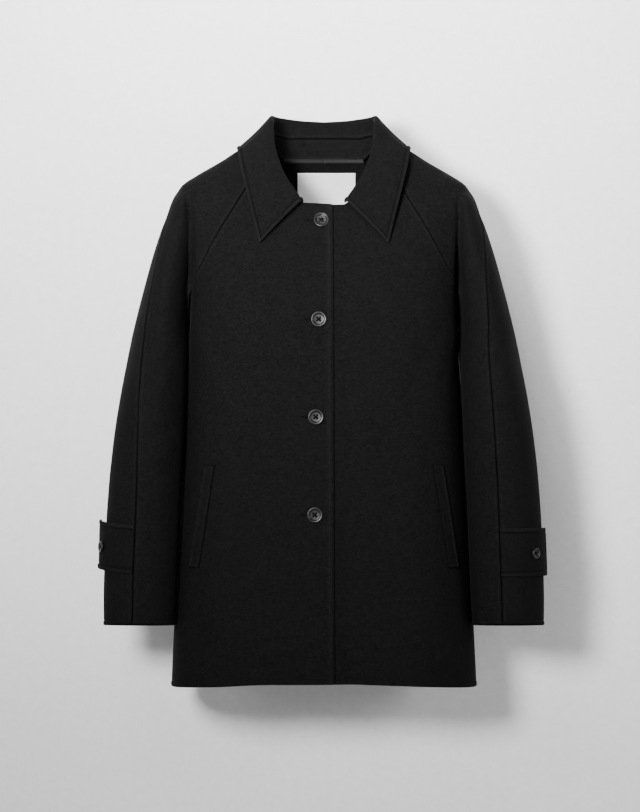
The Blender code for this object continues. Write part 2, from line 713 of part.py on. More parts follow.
def tab_panel(side):
    """A cuff tab: the sleeve's own points from the seam on top round its outer side, moved out and lifted."""
    rows = []
    for down in np.linspace(0, 1, 6):
        z = TAB_TOP_Z[side] - TAB_HEIGHT * down
        section = SleeveSection(z, side)
        start = section.at_angle(overarm_angle(z, side)) + TAB_FROM_SEAM
        rows.append(section.spread(start, start + TAB_LENGTH, TRIM_ROWS + 2))
    points, out = facing(*panel(rows), (side, -1, 0))
    share = np.linspace(0, 1, TRIM_ROWS + 2)[None, :, None]
    points = points + out * (TRIM_GAP + TAB_THICK + TAB_LIFT[side] * share**2)
    points[..., 2] += TAB_SLANT[side] * share[..., 0]
    return points, out


def label_panel():
    """The label on the inside of the back: the back's own points, moved in past the cloth."""
    x = LABEL_MIDDLE_X + LABEL_WIDTH * np.linspace(-0.5, 0.5, 9)[None, :]
    z = LABEL_TOP_Z - LABEL_HEIGHT * np.linspace(0, 1, 3)[:, None] + 0 * x
    points, out = surface_point(x + 0 * z, z, "back")
    return points - out * (CLOTH + TRIM_GAP + LABEL_THICK), -out


def tape_panel(rows, columns):
    """The tape over the back neck seam: the collar's own neck edge, moved in past the cloth, up and down."""
    neck, roll, _ = collar_lines(rows)
    rise = unit(roll - neck)
    inwards = unit(np.cross(rise, slope(neck, 0)))
    inwards = inwards * -np.sign(inwards[:1, 1:2])
    up = np.linspace(TAPE_LOW, TAPE_HIGH, columns)[None, :, None]
    half = (neck + inwards * (CLOTH + TRIM_GAP + TAPE_THICK))[:, None] + rise[:, None] * up
    points, out = whole_collar(half[np.linspace(0, 1, rows) < TAPE_END])
    return points, out * -np.sign(out[len(out) // 2, 0, 1])


def make_trim(coat, wool, satin, label_cloth):
    for side, word in ((RIGHT, "right"), (LEFT, "left")):
        welt, tab = f"pocket_welt_{word}", f"cuff_tab_{word}"
        add(welt, wall_mesh(welt, *welt_panel(side), WELT_THICK), wool, coat)
        add(tab, wall_mesh(tab, *tab_panel(side), TAB_THICK), wool, coat)
    add("neck_tape", wall_mesh("neck_tape", *tape_panel(40, 3), TAPE_THICK), satin, coat)
    add("label", wall_mesh("label", *label_panel(), LABEL_THICK), label_cloth, coat)


def button_mesh(name, across):
    """A button turned about Z: flat underneath, with a rounded rim round a shallow dish."""
    radius = across / 2
    profile = ((0.0, 0.55), (0.58, 0.55), (0.74, 0.95), (0.88, 1.0), (0.97, 0.8), (1.0, 0.45), (0.9, 0.0))
    work = bmesh.new()
    rings = []
    for share, height in profile[1:]:
        ring = []
        for k in range(BUTTON_SIDES):
            turn = 2 * math.pi * k / BUTTON_SIDES
            across_x, across_y = radius * share * math.cos(turn), radius * share * math.sin(turn)
            ring.append(work.verts.new((across_x * MM, across_y * MM, BUTTON_THICK * height * MM)))
        rings.append(ring)
    work.faces.new(rings[0])
    work.faces.new(rings[-1][::-1])
    for upper, lower in zip(rings, rings[1:]):
        for k in range(BUTTON_SIDES):
            following = (k + 1) % BUTTON_SIDES
            work.faces.new((upper[k], lower[k], lower[following], upper[following]))
    bmesh.ops.recalc_face_normals(work, faces=work.faces[:])
    bmesh.ops.triangulate(work, faces=work.faces[:])
    mesh = bpy.data.meshes.new(name)
    work.to_mesh(mesh)
    work.free()
    return mesh


def seat(piece, point, out):
    """Puts a piece's base on a point with its Z axis along a direction."""
    piece.location = Vector((point * MM).tolist())
    piece.rotation_mode = "QUATERNION"
    piece.rotation_quaternion = Vector(out.tolist()).to_track_quat("Z", "Y")


def make_buttons(coat, horn):
    for number, (x, z) in enumerate(FRONT_BUTTONS, 1):
        name = f"button_front_{number}"
        piece = add(name, button_mesh(name, FRONT_BUTTON_ACROSS), horn, coat)
        point, out = surface_point(np.float64(x), np.float64(z), "front")
        seat(piece, point + out * TRIM_GAP, out)
    for side, word in ((RIGHT, "right"), (LEFT, "left")):
        name = f"button_cuff_{word}"
        piece = add(name, button_mesh(name, CUFF_BUTTON_ACROSS), horn, coat)
        points, out = tab_panel(side)
        place = (1 - TAB_BUTTON_FROM_END[side] / TAB_LENGTH) * (points.shape[1] - 1)
        near = int(place)
        share = place - near
        rows = slice(2, 4)
        middle = points[rows, near].mean(0) * (1 - share) + points[rows, near + 1].mean(0) * share
        direction = unit(out[rows, near].mean(0) * (1 - share) + out[rows, near + 1].mean(0) * share)
        seat(piece, middle + direction * 2 * TRIM_GAP, direction)


def main():
    for old in list(bpy.data.objects):
        bpy.data.objects.remove(old)
    coat = bpy.data.objects.new("coat", None)
    bpy.context.scene.collection.objects.link(coat)
    wool = material("black_wool", **WOOL)
    satin = material("dark_satin", **SATIN)
    label_cloth = material("white_label", **LABEL_CLOTH)
    horn = material("dark_horn", **HORN)
    make_panels(coat, wool)
    make_collar(coat, wool)
    make_trim(coat, wool, satin, label_cloth)
    make_buttons(coat, horn)


main()
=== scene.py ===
"""Short raglan coat of thick black wool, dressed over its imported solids.

Sizes are in millimetres until a mesh is made. The cloth follows level sections, as the solids do: each
section is one line from the centre front, over the chest, into the fold beside the sleeve, round the sleeve
and back to the centre back. Panels are lofted through those sections on fine grids, and get turned edges,
seams and creases.
"""

import math

import bmesh
import bpy
import numpy as np
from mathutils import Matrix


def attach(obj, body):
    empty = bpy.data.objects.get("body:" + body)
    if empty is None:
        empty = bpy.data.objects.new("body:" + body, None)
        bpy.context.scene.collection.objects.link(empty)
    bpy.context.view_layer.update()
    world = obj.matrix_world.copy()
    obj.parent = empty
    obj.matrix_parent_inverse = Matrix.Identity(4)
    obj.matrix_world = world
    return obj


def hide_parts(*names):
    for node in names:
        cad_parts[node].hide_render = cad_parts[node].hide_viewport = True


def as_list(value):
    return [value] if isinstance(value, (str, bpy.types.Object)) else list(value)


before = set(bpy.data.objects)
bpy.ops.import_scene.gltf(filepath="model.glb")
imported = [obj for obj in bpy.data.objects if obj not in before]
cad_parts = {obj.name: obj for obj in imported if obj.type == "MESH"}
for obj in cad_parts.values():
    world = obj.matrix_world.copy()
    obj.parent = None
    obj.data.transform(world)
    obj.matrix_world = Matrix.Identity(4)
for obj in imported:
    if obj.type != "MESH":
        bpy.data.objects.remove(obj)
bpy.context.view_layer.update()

MM = 0.001
BODY_NAME = "root"

# Cloth and seams
CLOTH = 2.4
SEAM_GAP = 0.36
LAYER_GAP = 0.5
TRIM_GAP = 0.3

# Heights, from the back neck seam
ARMPIT_Z = -250.0
SHOULDER_Z = -36.0
CUFF_Z = -648.0
CUFF_BACK_DROP = 4.0
CUFF_SHAPED_FROM_Z = -560.0
HEM_Z = {"front": -725.0, "back": -735.0}
SIDE_HEM_Z, HEM_LEVEL_Z, HEM_SHAPED_FROM_Z = -734.0, -730.0, -600.0
FRONT_NECK_Z = -66.0
TOP_Z = {"front": 5, "back": 0}

# Front closing: the panel on the viewer's left lies on top
TOP_EDGE_AT_NECK, TOP_EDGE_AT_HEM = 12.9, 15.3
UNDERLAP = 24.0
SINK_FROM, SINK_TO = 62.0, 30.0

# Grid density
SAMPLES = 420
TURN_WEIGHT = 12.0
ROW_STEP = 5.0
FRONT_STEPS, BACK_HALF_COLUMNS, SLEEVE_STEPS = (6, 8, 34), 40, (12, 30)
FIRST_SHARE_ON_TOP = {"front": 0.56, "back": 0.5}
PAST_MIDDLE, FOLD_SEARCH = 60.0, 12.0
COLLAR_HALF_ROWS, STAND_COLUMNS, FALL_COLUMNS = 72, 14, (8, 12, 44)
WELT_GRID, TAB_GRID, TAPE_GRID, LABEL_GRID = (48, 9), (26, 40), (260, 15), (40, 70)
TAB_BUTTON_COLUMNS = 96
BUTTON_RINGS, BUTTON_TURN, TUBE_SIDES, STRAND_STEPS, BUTTONHOLE_STEPS = 64, 72, 10, 24, 240
NECK_BACK_STEPS, NECK_SIDE_STEPS, NECK_FRONT_STEPS = 20, 40, 90
NECK_STOP_SHARES = (0, 0.2, 0.4, 1)
SLOPE_STEP, CLEARING_ROUNDS = 0.5, 4
WELD, SMALLEST_STEP, FLAT_BOTTOM = 1e-7, 1e-9, 0.01
NOT_ALONG_A_THREAD = (0.31, 0.17, 0.93)

FACE_SIGN = {"front": -1, "back": 1}
RIGHT, LEFT = -1, 1
SIDES = ((RIGHT, "right"), (LEFT, "left"))
INNER_ANGLE = {"front": -math.pi / 2, "back": 1.5 * math.pi}
UPPER_ROWS = (-250, -232, -212, -190, -178, -166, -154, -142, -118, -95, -78)
UPPER_ROWS += (-66, -64, -52, -44, -36, -22, -8, 0, 5, 14, 22)
BODY_ROWS = (-275, -310, -370, -440, -510, -580, -640, -665, -730)
SLEEVE_ROWS = (-275, -305, -345, -395, -450, -505, -560, -610, -648)


def table(columns, *rows):
    """The columns of a table by name, each an array in order of the first column."""
    values = np.array(sorted(rows), float)
    return {name: values[:, k] for k, name in enumerate(columns.split())}


# One row for each level section of the body: half width at the side, middle in depth, depth of the front and
# back from that middle, squareness of the curve, and how far the fold beside the sleeve is filled. Below the
# armpit the body is widest further back and the sleeves hang forward, so that no light shows between them.
BODY = table(
    "z side mid front back square fill",
    (30, 88, 10, 12, 14, 2.2, 0.4),
    (14, 119, 10, 24, 30, 2.2, 0.4),
    (0, 140, 9, 33, 43, 2.3, 0.4),
    (-20, 174, 7, 44, 58, 2.4, 0.4),
    (-36, 198, 5, 53, 69, 2.5, 0.6),
    (-56, 203, 4, 65, 79, 2.7, 8),
    (-95, 198, 2, 84, 92, 3.0, 8),
    (-134, 191, 0, 97, 100, 3.2, 8),
    (-193, 185.5, 0, 106, 104, 3.2, 6),
    (-232, 186.6, 0, 109, 104, 3.2, 5),
    (-250, 187.8, 0, 109, 103, 3.2, 5),
    (-275, 188.8, 16, 126, 86, 3.2, 2),
    (-300, 190.7, 26, 136, 76, 3.2, 2),
    (-350, 194.5, 30, 140, 72, 3.2, 2),
    (-450, 200.3, 26, 139, 79, 3.1, 2),
    (-550, 205.3, 19, 137, 91, 3.0, 2),
    (-620, 207.8, 10, 132, 104, 3.0, 2),
    (-665, 210, 4, 128, 112, 2.9, 2),
    (-740, 213.5, 0, 127, 119, 2.9, 2),
)

# One row for each level section of a sleeve: its inner and outer side from the coat's middle, its half depth
# and its middle in depth.
SLEEVE = table(
    "z inner outer depth mid",
    (-36, 186, 198, 2, 5),
    (-56, 180, 211, 42, 4),
    (-75, 180, 218, 52, 3),
    (-95, 179, 226, 59, 2),
    (-134, 181.5, 239, 69, 0),
    (-193, 187, 255, 77, 0),
    (-232, 189.2, 264.7, 79.5, 0),
    (-250, 188.4, 269, 80, 0),
    (-275, 188.7, 273.7, 79, -10),
    (-300, 189.7, 277.9, 77, -23),
    (-350, 191.7, 285.6, 73, -38),
    (-450, 196.6, 298.0, 64, -46),
    (-550, 201.2, 303.5, 56, -50),
    (-610, 203.6, 305.2, 52, -51),
    (-660, 206.2, 304.8, 50, -51),
)

# Where the seam on top of each sleeve lies, as an angle from its front towards its outer side.
OVERARM = table(
    "z right left",
    (-36, 90, 90),
    (-56, 76, 74),
    (-95, 58, 50),
    (-134, 42, 26),
    (-193, 34, 8),
    (-300, 24, -7),
    (-490, 9, -11),
    (-660, 9, -12),
)

# Distance from the coat's middle of the raglan seams, front and back.
RAGLAN = {
    "front": table("z x", (6, 77), (-12, 91), (-36, 105), (-55, 116), (-112, 150), (-164, 177)),
    "back": table("z x", (0, 58), (-40, 92), (-90, 128), (-135, 156), (-164, 176)),
}

# Where the raglan seam runs down inside the fold: its distance from the fold's bottom, the width of sleeve
# cloth that the first columns of the sleeve take up there, and the depth that the fold is filled to.
RAGLAN_IN_FOLD_Z, NO_FOLD_Z, SLEEVE_EVEN_Z = -150.0, -70.0, -330.0
FLOOR_FILL = 3.0
FOLD = table(
    "z strip first floor",
    (-70, 40, 40, 0),
    (-118, 40, 40, 28),
    (-154, 31, 31, 38),
    (-166, 19, 21, 37),
    (-178, 8, 14, 36),
    (-190, 0, 11, 34),
    (-212, 0, 11, 22),
    (-232, 0, 11, 10),
    (-250, 0, 11, 6),
)

# Distance from the coat's middle of the neck edge, front and back.
NECK = {
    "front": table(
        "z x",
        (-64, 28), (-60, 33), (-50, 42), (-30, 56), (-10, 68), (5, 75), (14, 80), (22, 84), (30, 88),
    ),
    "back": table("z x", (0, 58), (10, 68), (20, 78), (30, 88)),
}
NECK_TOP_Z, NECK_BACK_LAST_Z, NECK_FRONT_Z, NECK_BACK_X = 30, 29, -64, 56

# Soft upright folds: place at the top and at the hem, half width, rise at the hem and height they start at.
FOLDS = {
    "front": (
        dict(top=-148, hem=-142, width=26, rise=6, start=-200),
        dict(top=-72, hem=-88, width=34, rise=-9, start=-180),
        dict(top=-6, hem=-14, width=34, rise=4, start=-260),
        dict(top=34, hem=44, width=28, rise=-7, start=-190),
        dict(top=116, hem=134, width=40, rise=6, start=-220),
    ),
    "back": (
        dict(top=-96, hem=-118, width=38, rise=8, start=-240),
        dict(top=-40, hem=-48, width=34, rise=-8, start=-230),
        dict(top=22, hem=26, width=36, rise=5, start=-300),
        dict(top=84, hem=92, width=32, rise=-7, start=-240),
        dict(top=136, hem=150, width=26, rise=6, start=-260),
    ),
}

# Collar, one row for each station from the centre back to the front end: share of the neck edge's length
# that the stand starts from, the stand's share of the height to the roll line, that line and its radius,
# the outer edge, and how far the fall arches out to it.
COLLAR = table(
    "station neck stand roll_x roll_y roll_z radius edge_x edge_y edge_z arch",
    (0.0, 0.0, 0.58, 0, 56, 58, 5, 0, 71, -14, 3),
    (0.18, 0.17, 0.56, 34, 52, 59.5, 5, 46, 69, -12, 2.5),
    (0.34, 0.31, 0.47, 56, 41, 61.5, 4.4, 88, 54, -3, 1),
    (0.48, 0.40, 0.32, 66.5, 23, 62, 4.2, 116, 24, 12, -1.5),
    (0.58, 0.455, 0.24, 68.5, 6, 55, 4.8, 121, -4, 14, -1.5),
    (0.70, 0.54, 0.16, 67, -16, 28, 6, 116, -40, -12, 1.5),
    (0.84, 0.765, 0.05, 57, -44, -12, 6, 104, -72, -60, 3),
    (1.0, 1.0, 0.0, 29, -74, -59, 6, 89, -96, -121, 3),
)
STAND_END = 0.62
NECK_SEAM_HEIGHT = 2.6
ROLL_SHARE = 0.32
COLLAR_CLEARANCE = CLOTH + 1.4

# Pocket welts: inner edge at the top and the bottom, and width across the front.
WELT_TOP_X, WELT_TOP_Z = 149.0, -425.0
WELT_LOW_X, WELT_LOW_Z = 171.0, -567.0
WELT_WIDTH = 14.5
WELT_THICK = 2.0

# Cuff tabs: length round the sleeve, height, and the height of their top edge.
TAB_LENGTH, TAB_HEIGHT, TAB_THICK = 95.0, 66.0, 2.4
TAB_LIFT = {RIGHT: 8.5, LEFT: 1.5}
TAB_TOP_Z = {RIGHT: -508.0, LEFT: -512.0}
TAB_SLANT = {RIGHT: 6.0, LEFT: -1.0}
TAB_BUTTON_FROM_END = {RIGHT: 38.0, LEFT: 45.0}
TAB_FROM_SEAM = 0.8

# Buttons
FRONT_BUTTONS = ((-3.5, -88.6), (-7.0, -225.4), (-11.0, -359.4), (-12.4, -493.5))
FRONT_BUTTON_ACROSS, CUFF_BUTTON_ACROSS = 22.0, 15.0
BUTTON_THICK = 3.4

# Inside the back neck
TAPE_LOW, TAPE_HIGH, TAPE_THICK, TAPE_END = -2.0, 4.6, 1.0, 0.25
LABEL_MIDDLE_X, LABEL_WIDTH, LABEL_HEIGHT, LABEL_THICK = 4.0, 82.0, 48.0, 1.0
LABEL_TOP_Z = -13.0

# Edges of the cloth: distances of the grid's extra lines, and the profiles' sizes
TURNED_LINES = np.array([0, 0.2, 0.6, 1.2, 1.9, 2.6, 3.4, 4.2, 4.9, 5.5, 6.1, 6.7, 7.4, 8.6])
SEAM_LINES = np.array([0, 0.3, 0.8, 1.4, 2.0, 2.8, 3.8, 5.0, 6.5])
ROLLED_LINES = np.array([0, 0.2, 0.6, 1.2, 1.9, 2.6, 3.4, 4.4, 5.6, 7.0, 8.5, 10.0, 12.0, 14.5, 17.0])
EDGE_LINES = {
    "turned": TURNED_LINES,
    "hem": TURNED_LINES,
    "seam": SEAM_LINES,
    "raglan": SEAM_LINES,
    "plain": np.array([0, 0.3, 0.8, 1.6]),
    "rolled": ROLLED_LINES,
}
LARGEST_EDGE_SHARE = 0.4
ROUND_WIDTH = {"turned": 3.0, "hem": 3.0, "rolled": 3.0, "seam": 1.6, "raglan": 1.6, "plain": 1.6}
ROUND_DEPTH, CORNER_RADIUS = 1.0, 5.0
LIP_WIDTH, LIP_RISE, LIP_FALL_WIDTH, GROOVE_DEPTH, GROOVE_WIDTH = 4.9, 1.3, 1.76, 1.0, 1.1
GROOVE_AT = LIP_WIDTH + GROOVE_WIDTH
SEAM_RISE, SEAM_RIDGE_AT, SEAM_RIDGE_WIDTH, RAGLAN_FADE = 0.75, 2.3, 1.7, 40.0
ROLL_RISE, ROLL_AT, ROLL_WIDTH = 1.8, 5.5, 3.6
HEM_SHARE = 0.5

# Painted light and shade in the cloth's colour near an edge: a painted highlight on a lip, roll or ridge,
# where a rounded edge would catch the light, and painted shade down in a groove or a seam
PAINTED_LIGHT_ON_LIP, PAINTED_SHADE_IN_GROOVE, PAINTED_LIGHT_ON_RIDGE, PAINTED_SHADE_IN_SEAM, SEAM_DITCH = 0.32, 0.25, 0.25, 0.45, 1.3

# Creases, one row each: start (across, up) and end (across, up), half width and rise. Across is from the
# coat's middle on the body, and from the middle of the sleeve's width, outwards, on a sleeve. They fade out
# towards the neck and above the cuff tabs.
BODY_FRONT_CREASES = (
    (-168, -214, -112, -338, 13, -1.3),
    (-160, -262, -126, -372, 10, 0.9),
    (168, -220, 118, -330, 12, -1.2),
    (162, -270, 140, -392, 11, 0.8),
    (-58, -150, -30, -262, 15, 0.7),
    (56, -160, 66, -300, 16, -0.8),
    (-150, -560, -120, -700, 15, 1.0),
    (-40, -470, -46, -640, 17, -0.9),
    (92, -430, 104, -640, 17, -1.0),
    (150, -590, 168, -700, 12, 0.9),
)
BODY_BACK_CREASES = (
    (-166, -218, -104, -330, 13, -1.3),
    (-158, -268, -122, -390, 11, 0.9),
    (166, -222, 110, -350, 13, -1.3),
    (160, -280, 132, -400, 11, 0.9),
    (-60, -92, 58, -98, 16, 0.8),
    (-22, -160, -34, -420, 18, -0.9),
    (62, -300, 70, -560, 18, 0.9),
    (-120, -520, -134, -700, 14, 0.9),
)
SLEEVE_FRONT_CREASES = {
    RIGHT: (
        (-26, -258, 6, -318, 9, -1.2),
        (-40, -366, 0, -392, 8, -1.3),
        (-44, -398, -6, -414, 8, 0.9),
        (-38, -436, 4, -462, 9, -0.9),
        (4, -300, 8, -480, 13, 0.8),
    ),
    LEFT: (
        (-24, -262, 8, -330, 10, -1.2),
        (-42, -378, -4, -398, 8, -1.2),
        (-44, -412, 2, -436, 9, 0.9),
        (2, -290, 6, -470, 12, 0.8),
    ),
}
SLEEVE_BACK_CREASES = (
    (-28, -262, 10, -340, 11, -1.3),
    (-40, -372, 6, -390, 9, -1.4),
    (-44, -404, 10, -424, 9, 1.0),
    (-36, -440, 2, -452, 9, -1.0),
    (16, -200, 22, -330, 13, 0.9),
)
BODY_CREASES = {"front": BODY_FRONT_CREASES, "back": BODY_BACK_CREASES}

# The cloth's own unevenness, a row for each pair of waves that are multiplied: its share, and each wave's
# length across and up and its start
WAVE_HEIGHT = 0.32
WAVES = (
    (1.0, (17, 61, 0.7), (-90, 43, 1.9)),
    (0.8, (31, -37, 2.3), (55, 71, 0.0)),
)
CREASE_TOP_Z, CREASE_FADE, TAB_FADE = -60.0, 60.0, 40.0

# The ridge that stands up beside the fold between body and sleeve, on the wearer's right and left: its
# distance from the coat's middle. Outside it the cloth drops into a narrow trough.
FOLD_RIDGE = table(
    "z right left",
    (-40, 190, 188),
    (-58, 181.5, 182),
    (-90, 176, 180),
    (-120, 174.5, 178.5),
    (-148, 175.5, 178),
    (-186, 178, 178.5),
    (-240, 181, 181),
)
RIDGE_RISE, RIDGE_WIDTH, TROUGH_FALL, TROUGH_WIDTH, TROUGH_SHIFT = 2.0, 5.0, 2.2, 4.5, 8.0
RIDGE_END_Z, RIDGE_FADE_TOP, RIDGE_FADE_END = -215.0, 30.0, 60.0

# Neck tape and label
TAPE_CROWN, TAPE_TURN_IN, TAPE_SEAM_WIDTH, TAPE_SEAM_SHARE = 0.7, 2.0, 0.9, 0.8
LABEL_FOLD, LABEL_FOLD_RISE, LABEL_FOLD_EDGE = 4.0, 0.3, 1.5

# Buttons: their profile as shares of radius and thickness, from the dish's middle to the underside's middle,
# and holes and strands as shares of the radius. A bundle of strands is its two holes and its height: the
# second lies over the first.
BUTTON_PROFILE = (
    (0.0, 0.55), (0.3, 0.55), (0.58, 0.58), (0.72, 0.9), (0.86, 1.0), (0.96, 0.86), (1.0, 0.5), (0.93, 0.06),
    (0.8, 0.0), (0.4, 0.0), (0.0, 0.0),
)
HOLE_PLACES = ((-0.17, -0.17), (-0.17, 0.17), (0.17, 0.17), (0.17, -0.17))
HOLE_RADIUS, HOLE_DEPTH, DISH_KNOTS = 0.11, 1.3, 3
STRAND_OFFSETS, STRAND_OVERRUN, STRAND_SINK = (-0.055, 0.0, 0.055), 0.04, 0.25
BUNDLES = ((0, 2, 0.5), (1, 3, 0.85))
THREAD_RADIUS = 0.42
BUTTONHOLE_LENGTH, BUTTONHOLE_HALF_WIDTH, BUTTONHOLE_SHIFT = 24.0, 1.1, 7.0
BUTTONHOLE_THREAD, BUTTONHOLE_STITCHES, STITCH_SHARE, BUTTONHOLE_LIFT = 0.5, 44, 0.18, 0.35
BUTTONHOLE_SIDES, BUTTONHOLE_SQUARE = 8, 3

# Finishes
WOOL_DARK, WOOL_LIGHT = (0.0019, 0.0019, 0.0019), (0.0068, 0.0068, 0.0069)
HORN_DARK, HORN_LIGHT = (0.002, 0.002, 0.0021), (0.0066, 0.0066, 0.0068)
WALL_DARK, WALL_LIGHT = (0.74, 0.74, 0.745), (0.79, 0.79, 0.795)

# Stage, in metres: a wall behind the coat, a floor below it, lights and camera. A light's row is its name,
# place, aim, width, power in watts and spread in degrees.
WALL_Y, WALL_HALF_WIDTH, WALL_TOP = 0.135, 1.6, 1.4
FLOOR_Z, FLOOR_REACH = -1.25, 6.0
LIGHTS = (
    ("key", (-0.8, -2.5, 0.12), (0.0, 0.0, 0.46), 0.6, 42.0, 76.0),
    ("wash", (-0.4, -1.7, 1.5), (0.0, 0.1, 0.75), 0.9, 16.0, 56.0),
    ("right", (2.1, -1.4, 0.0), (0.1, 0.0, -0.5), 1.0, 26.0, 180.0),
    ("left", (-2.1, -1.2, 0.0), (-0.1, 0.0, -0.5), 1.0, 9.0, 180.0),
    ("back", (0.0, 4.5, 0.8), (0.0, 0.0, -0.4), 1.2, 160.0, 180.0),
)
WORLD_COLOR, WORLD_STRENGTH = (0.86, 0.87, 0.88), 0.22
SENSOR = 36.0
CAMERA_DISTANCE, CAMERA_X, CAMERA_Z, FRAME_HEIGHT = 5.0, -0.0053, -0.3444, 1.1368


def smooth_curve(xs, ys, x):
    """A cubic curve through the points (xs, ys), read at x, each y a number or an array.

    Its slope at a point is the harmonic mean of the slopes on both sides, or 0 where they turn, so that it
    doesn't overshoot.
    """
    more = (1,) * (ys.ndim - 1)
    step = np.diff(xs).reshape((-1,) + more)
    rise = np.diff(ys, axis=0) / step
    product = rise[:-1] * rise[1:]
    total = np.where(product > 0, rise[:-1] + rise[1:], 1.0)
    tangent = np.concatenate([rise[:1], np.where(product > 0, 2 * product / total, 0.0), rise[-1:]])
    x = np.asarray(x, float)
    k = np.clip(np.searchsorted(xs, x) - 1, 0, len(xs) - 2)
    wide = (xs[k + 1] - xs[k]).reshape(x.shape + more)
    t = np.clip((x - xs[k]) / (xs[k + 1] - xs[k]), 0, 1).reshape(x.shape + more)
    share = 3 * t**2 - 2 * t**3
    ends = ys[k] * (1 - share) + ys[k + 1] * share
    return ends + wide * (tangent[k] * (t - 2 * t**2 + t**3) + tangent[k + 1] * (t**3 - t**2))


def column(rows, name, z):
    """A table's column at the heights z."""
    key = "z" if "z" in rows else "station"
    return smooth_curve(rows[key], rows[name], np.asarray(z, float))


def smooth_step(t):
    """A rise from 0 to 1 that starts and ends level."""
    t = np.clip(t, 0, 1)
    return t * t * (3 - 2 * t)


def bell(x, middle, width):
    """A hump of height 1 that falls off on both sides of its middle."""
    return np.exp(-(((x - middle) / width) ** 2))


def signed_root(value, power):
    """A power of a number's size, with the number's sign."""
    return np.sign(value) * np.abs(value) ** power


def relief(folds, x, z):
    """How far the upright folds push the cloth out at (x, z)."""
    total = 0.0
    for fold in folds:
        share = smooth_step((fold["start"] - z) / (fold["start"] - HEM_LEVEL_Z))
        middle = fold["top"] + (fold["hem"] - fold["top"]) * share
        total = total + fold["rise"] * share * bell(x, middle, fold["width"])
    return total


def body_depth(x, z, face):
    """Depth of the body's front or back face from its middle, at (x, z), negative past its side."""
    square = column(BODY, "square", z)
    inside = 1 - (np.abs(x) / column(BODY, "side", z)) ** square
    share = signed_root(inside, 1 / square)
    return share * column(BODY, face, z) + np.clip(share, 0, 1) ** 2 * relief(FOLDS[face], x, z)


def body_point(x, z, face):
    """Points of the body's front or back at (x, z): its middle in depth, less or more its depth."""
    y = column(BODY, "mid", z) + FACE_SIGN[face] * body_depth(x, z, face)
    return np.stack(np.broadcast_arrays(x, y, z), -1)


def sleeve_middle(z):
    """Distance of a sleeve's middle from the coat's middle, and half the sleeve's width."""
    inner, outer = column(SLEEVE, "inner", z), column(SLEEVE, "outer", z)
    return (inner + outer) / 2, (outer - inner) / 2


def sleeve_depth(x, z):
    """Depth of the sleeve's front or back face from its middle, at (x, z), negative past its sides."""
    middle, half = sleeve_middle(z)
    across = (np.abs(x) - middle) / half
    return column(SLEEVE, "depth", z) * signed_root(1 - across**2, 0.5)


def coat_depth(x, z, face):
    """Depth of body and sleeve together above the armpit: the larger of the two, with their fold filled."""
    body, sleeve = body_depth(x, z, face), sleeve_depth(x, z)
    depth = (body + sleeve + np.sqrt((body - sleeve) ** 2 + column(BODY, "fill", z) ** 2)) / 2
    crest, _ = sleeve_middle(z)
    floor = column(FOLD, "floor", z)
    filled = (depth + floor + np.sqrt((depth - floor) ** 2 + FLOOR_FILL**2)) / 2
    return np.where(np.abs(x) < crest, filled, depth)


def towards_end(start, end):
    """Places from start to end that crowd together at the end, where a section turns round a side."""
    return start + (end - start) * (1 - (1 - np.linspace(0, 1, SAMPLES)) ** 3)


class Section:
    """One level section line: its points, its length along them, and where its places lie on it."""

    def __init__(self, points, turn):
        self.points = points
        self.turn = turn
        step = np.diff(points, axis=0)
        length = np.linalg.norm(step, axis=1)
        way = step / np.maximum(length, SMALLEST_STEP)[:, None]
        bend = np.arccos(np.clip(np.sum(way[1:] * way[:-1], axis=1), -1, 1))
        bend = np.where(np.minimum(length[1:], length[:-1]) > 1e-6, bend, 0)
        self.length = np.concatenate([[0], np.cumsum(length)])
        self.measure = self.length + TURN_WEIGHT * np.concatenate([[0], np.cumsum(bend), [bend.sum()]])

    def point(self, at):
        """Points at lengths along the line."""
        return np.stack([np.interp(at, self.length, self.points[:, k]) for k in range(3)], -1)

    def spread(self, start, end, count):
        """Count points from start to end, closer together in bends."""
        first, last = np.interp((start, end), self.length, self.measure)
        at = np.interp(np.linspace(first, last, count), self.measure, self.length)
        return self.point(at)


class CoatSection(Section):
    """The section of half the coat at height z, from past the centre front round the side to past the back.

    Above the armpit its side is the sleeve's, below it the body's.
    """

    def __init__(self, z, side):
        joined = ARMPIT_Z < z < SHOULDER_Z
        depth = coat_depth if joined else body_depth
        widest = float(column(BODY, "side", z))
        if joined:
            widest = max(widest, float(column(SLEEVE, "outer", z)))
        across = towards_end(-PAST_MIDDLE, widest)
        mid = float(column(BODY, "mid", z))
        halves = []
        for face, sign in FACE_SIGN.items():
            deep = np.maximum(depth(side * across, z, face), 0)
            halves.append(np.stack([side * across, mid + sign * deep, np.full(SAMPLES, float(z))], 1))
        super().__init__(np.concatenate([halves[0], halves[1][::-1]]), SAMPLES)
        self.across = across

    def at(self, face, x):
        """Length along the line at the distance x from the middle, on the front or the back."""
        half = self.length[: self.turn] if face == "front" else self.length[self.turn :][::-1]
        return float(np.interp(x, self.across, half))


class SleeveSection(Section):
    """The closed section of a sleeve below the armpit: an ellipse from its inner side over the front."""

    OVERRUN = math.radians(12)

    def __init__(self, z, side):
        middle, half = sleeve_middle(z)
        first, last = INNER_ANGLE["front"] - self.OVERRUN, INNER_ANGLE["back"] + self.OVERRUN
        self.angle = np.linspace(first, last, 2 * SAMPLES)
        x = middle + half * np.sin(self.angle)
        y = column(SLEEVE, "mid", z) - column(SLEEVE, "depth", z) * np.cos(self.angle)
        super().__init__(np.stack([side * x, y, np.full(len(x), float(z))], 1), 0)

    def at_angle(self, angle):
        """Length along the line at an angle from the sleeve's front."""
        return float(np.interp(angle, self.angle, self.length))


def overarm_angle(z, side):
    """Angle of the seam on top of the sleeve, from the sleeve's front towards its outer side."""
    return math.radians(float(column(OVERARM, "right" if side == RIGHT else "left", z)))


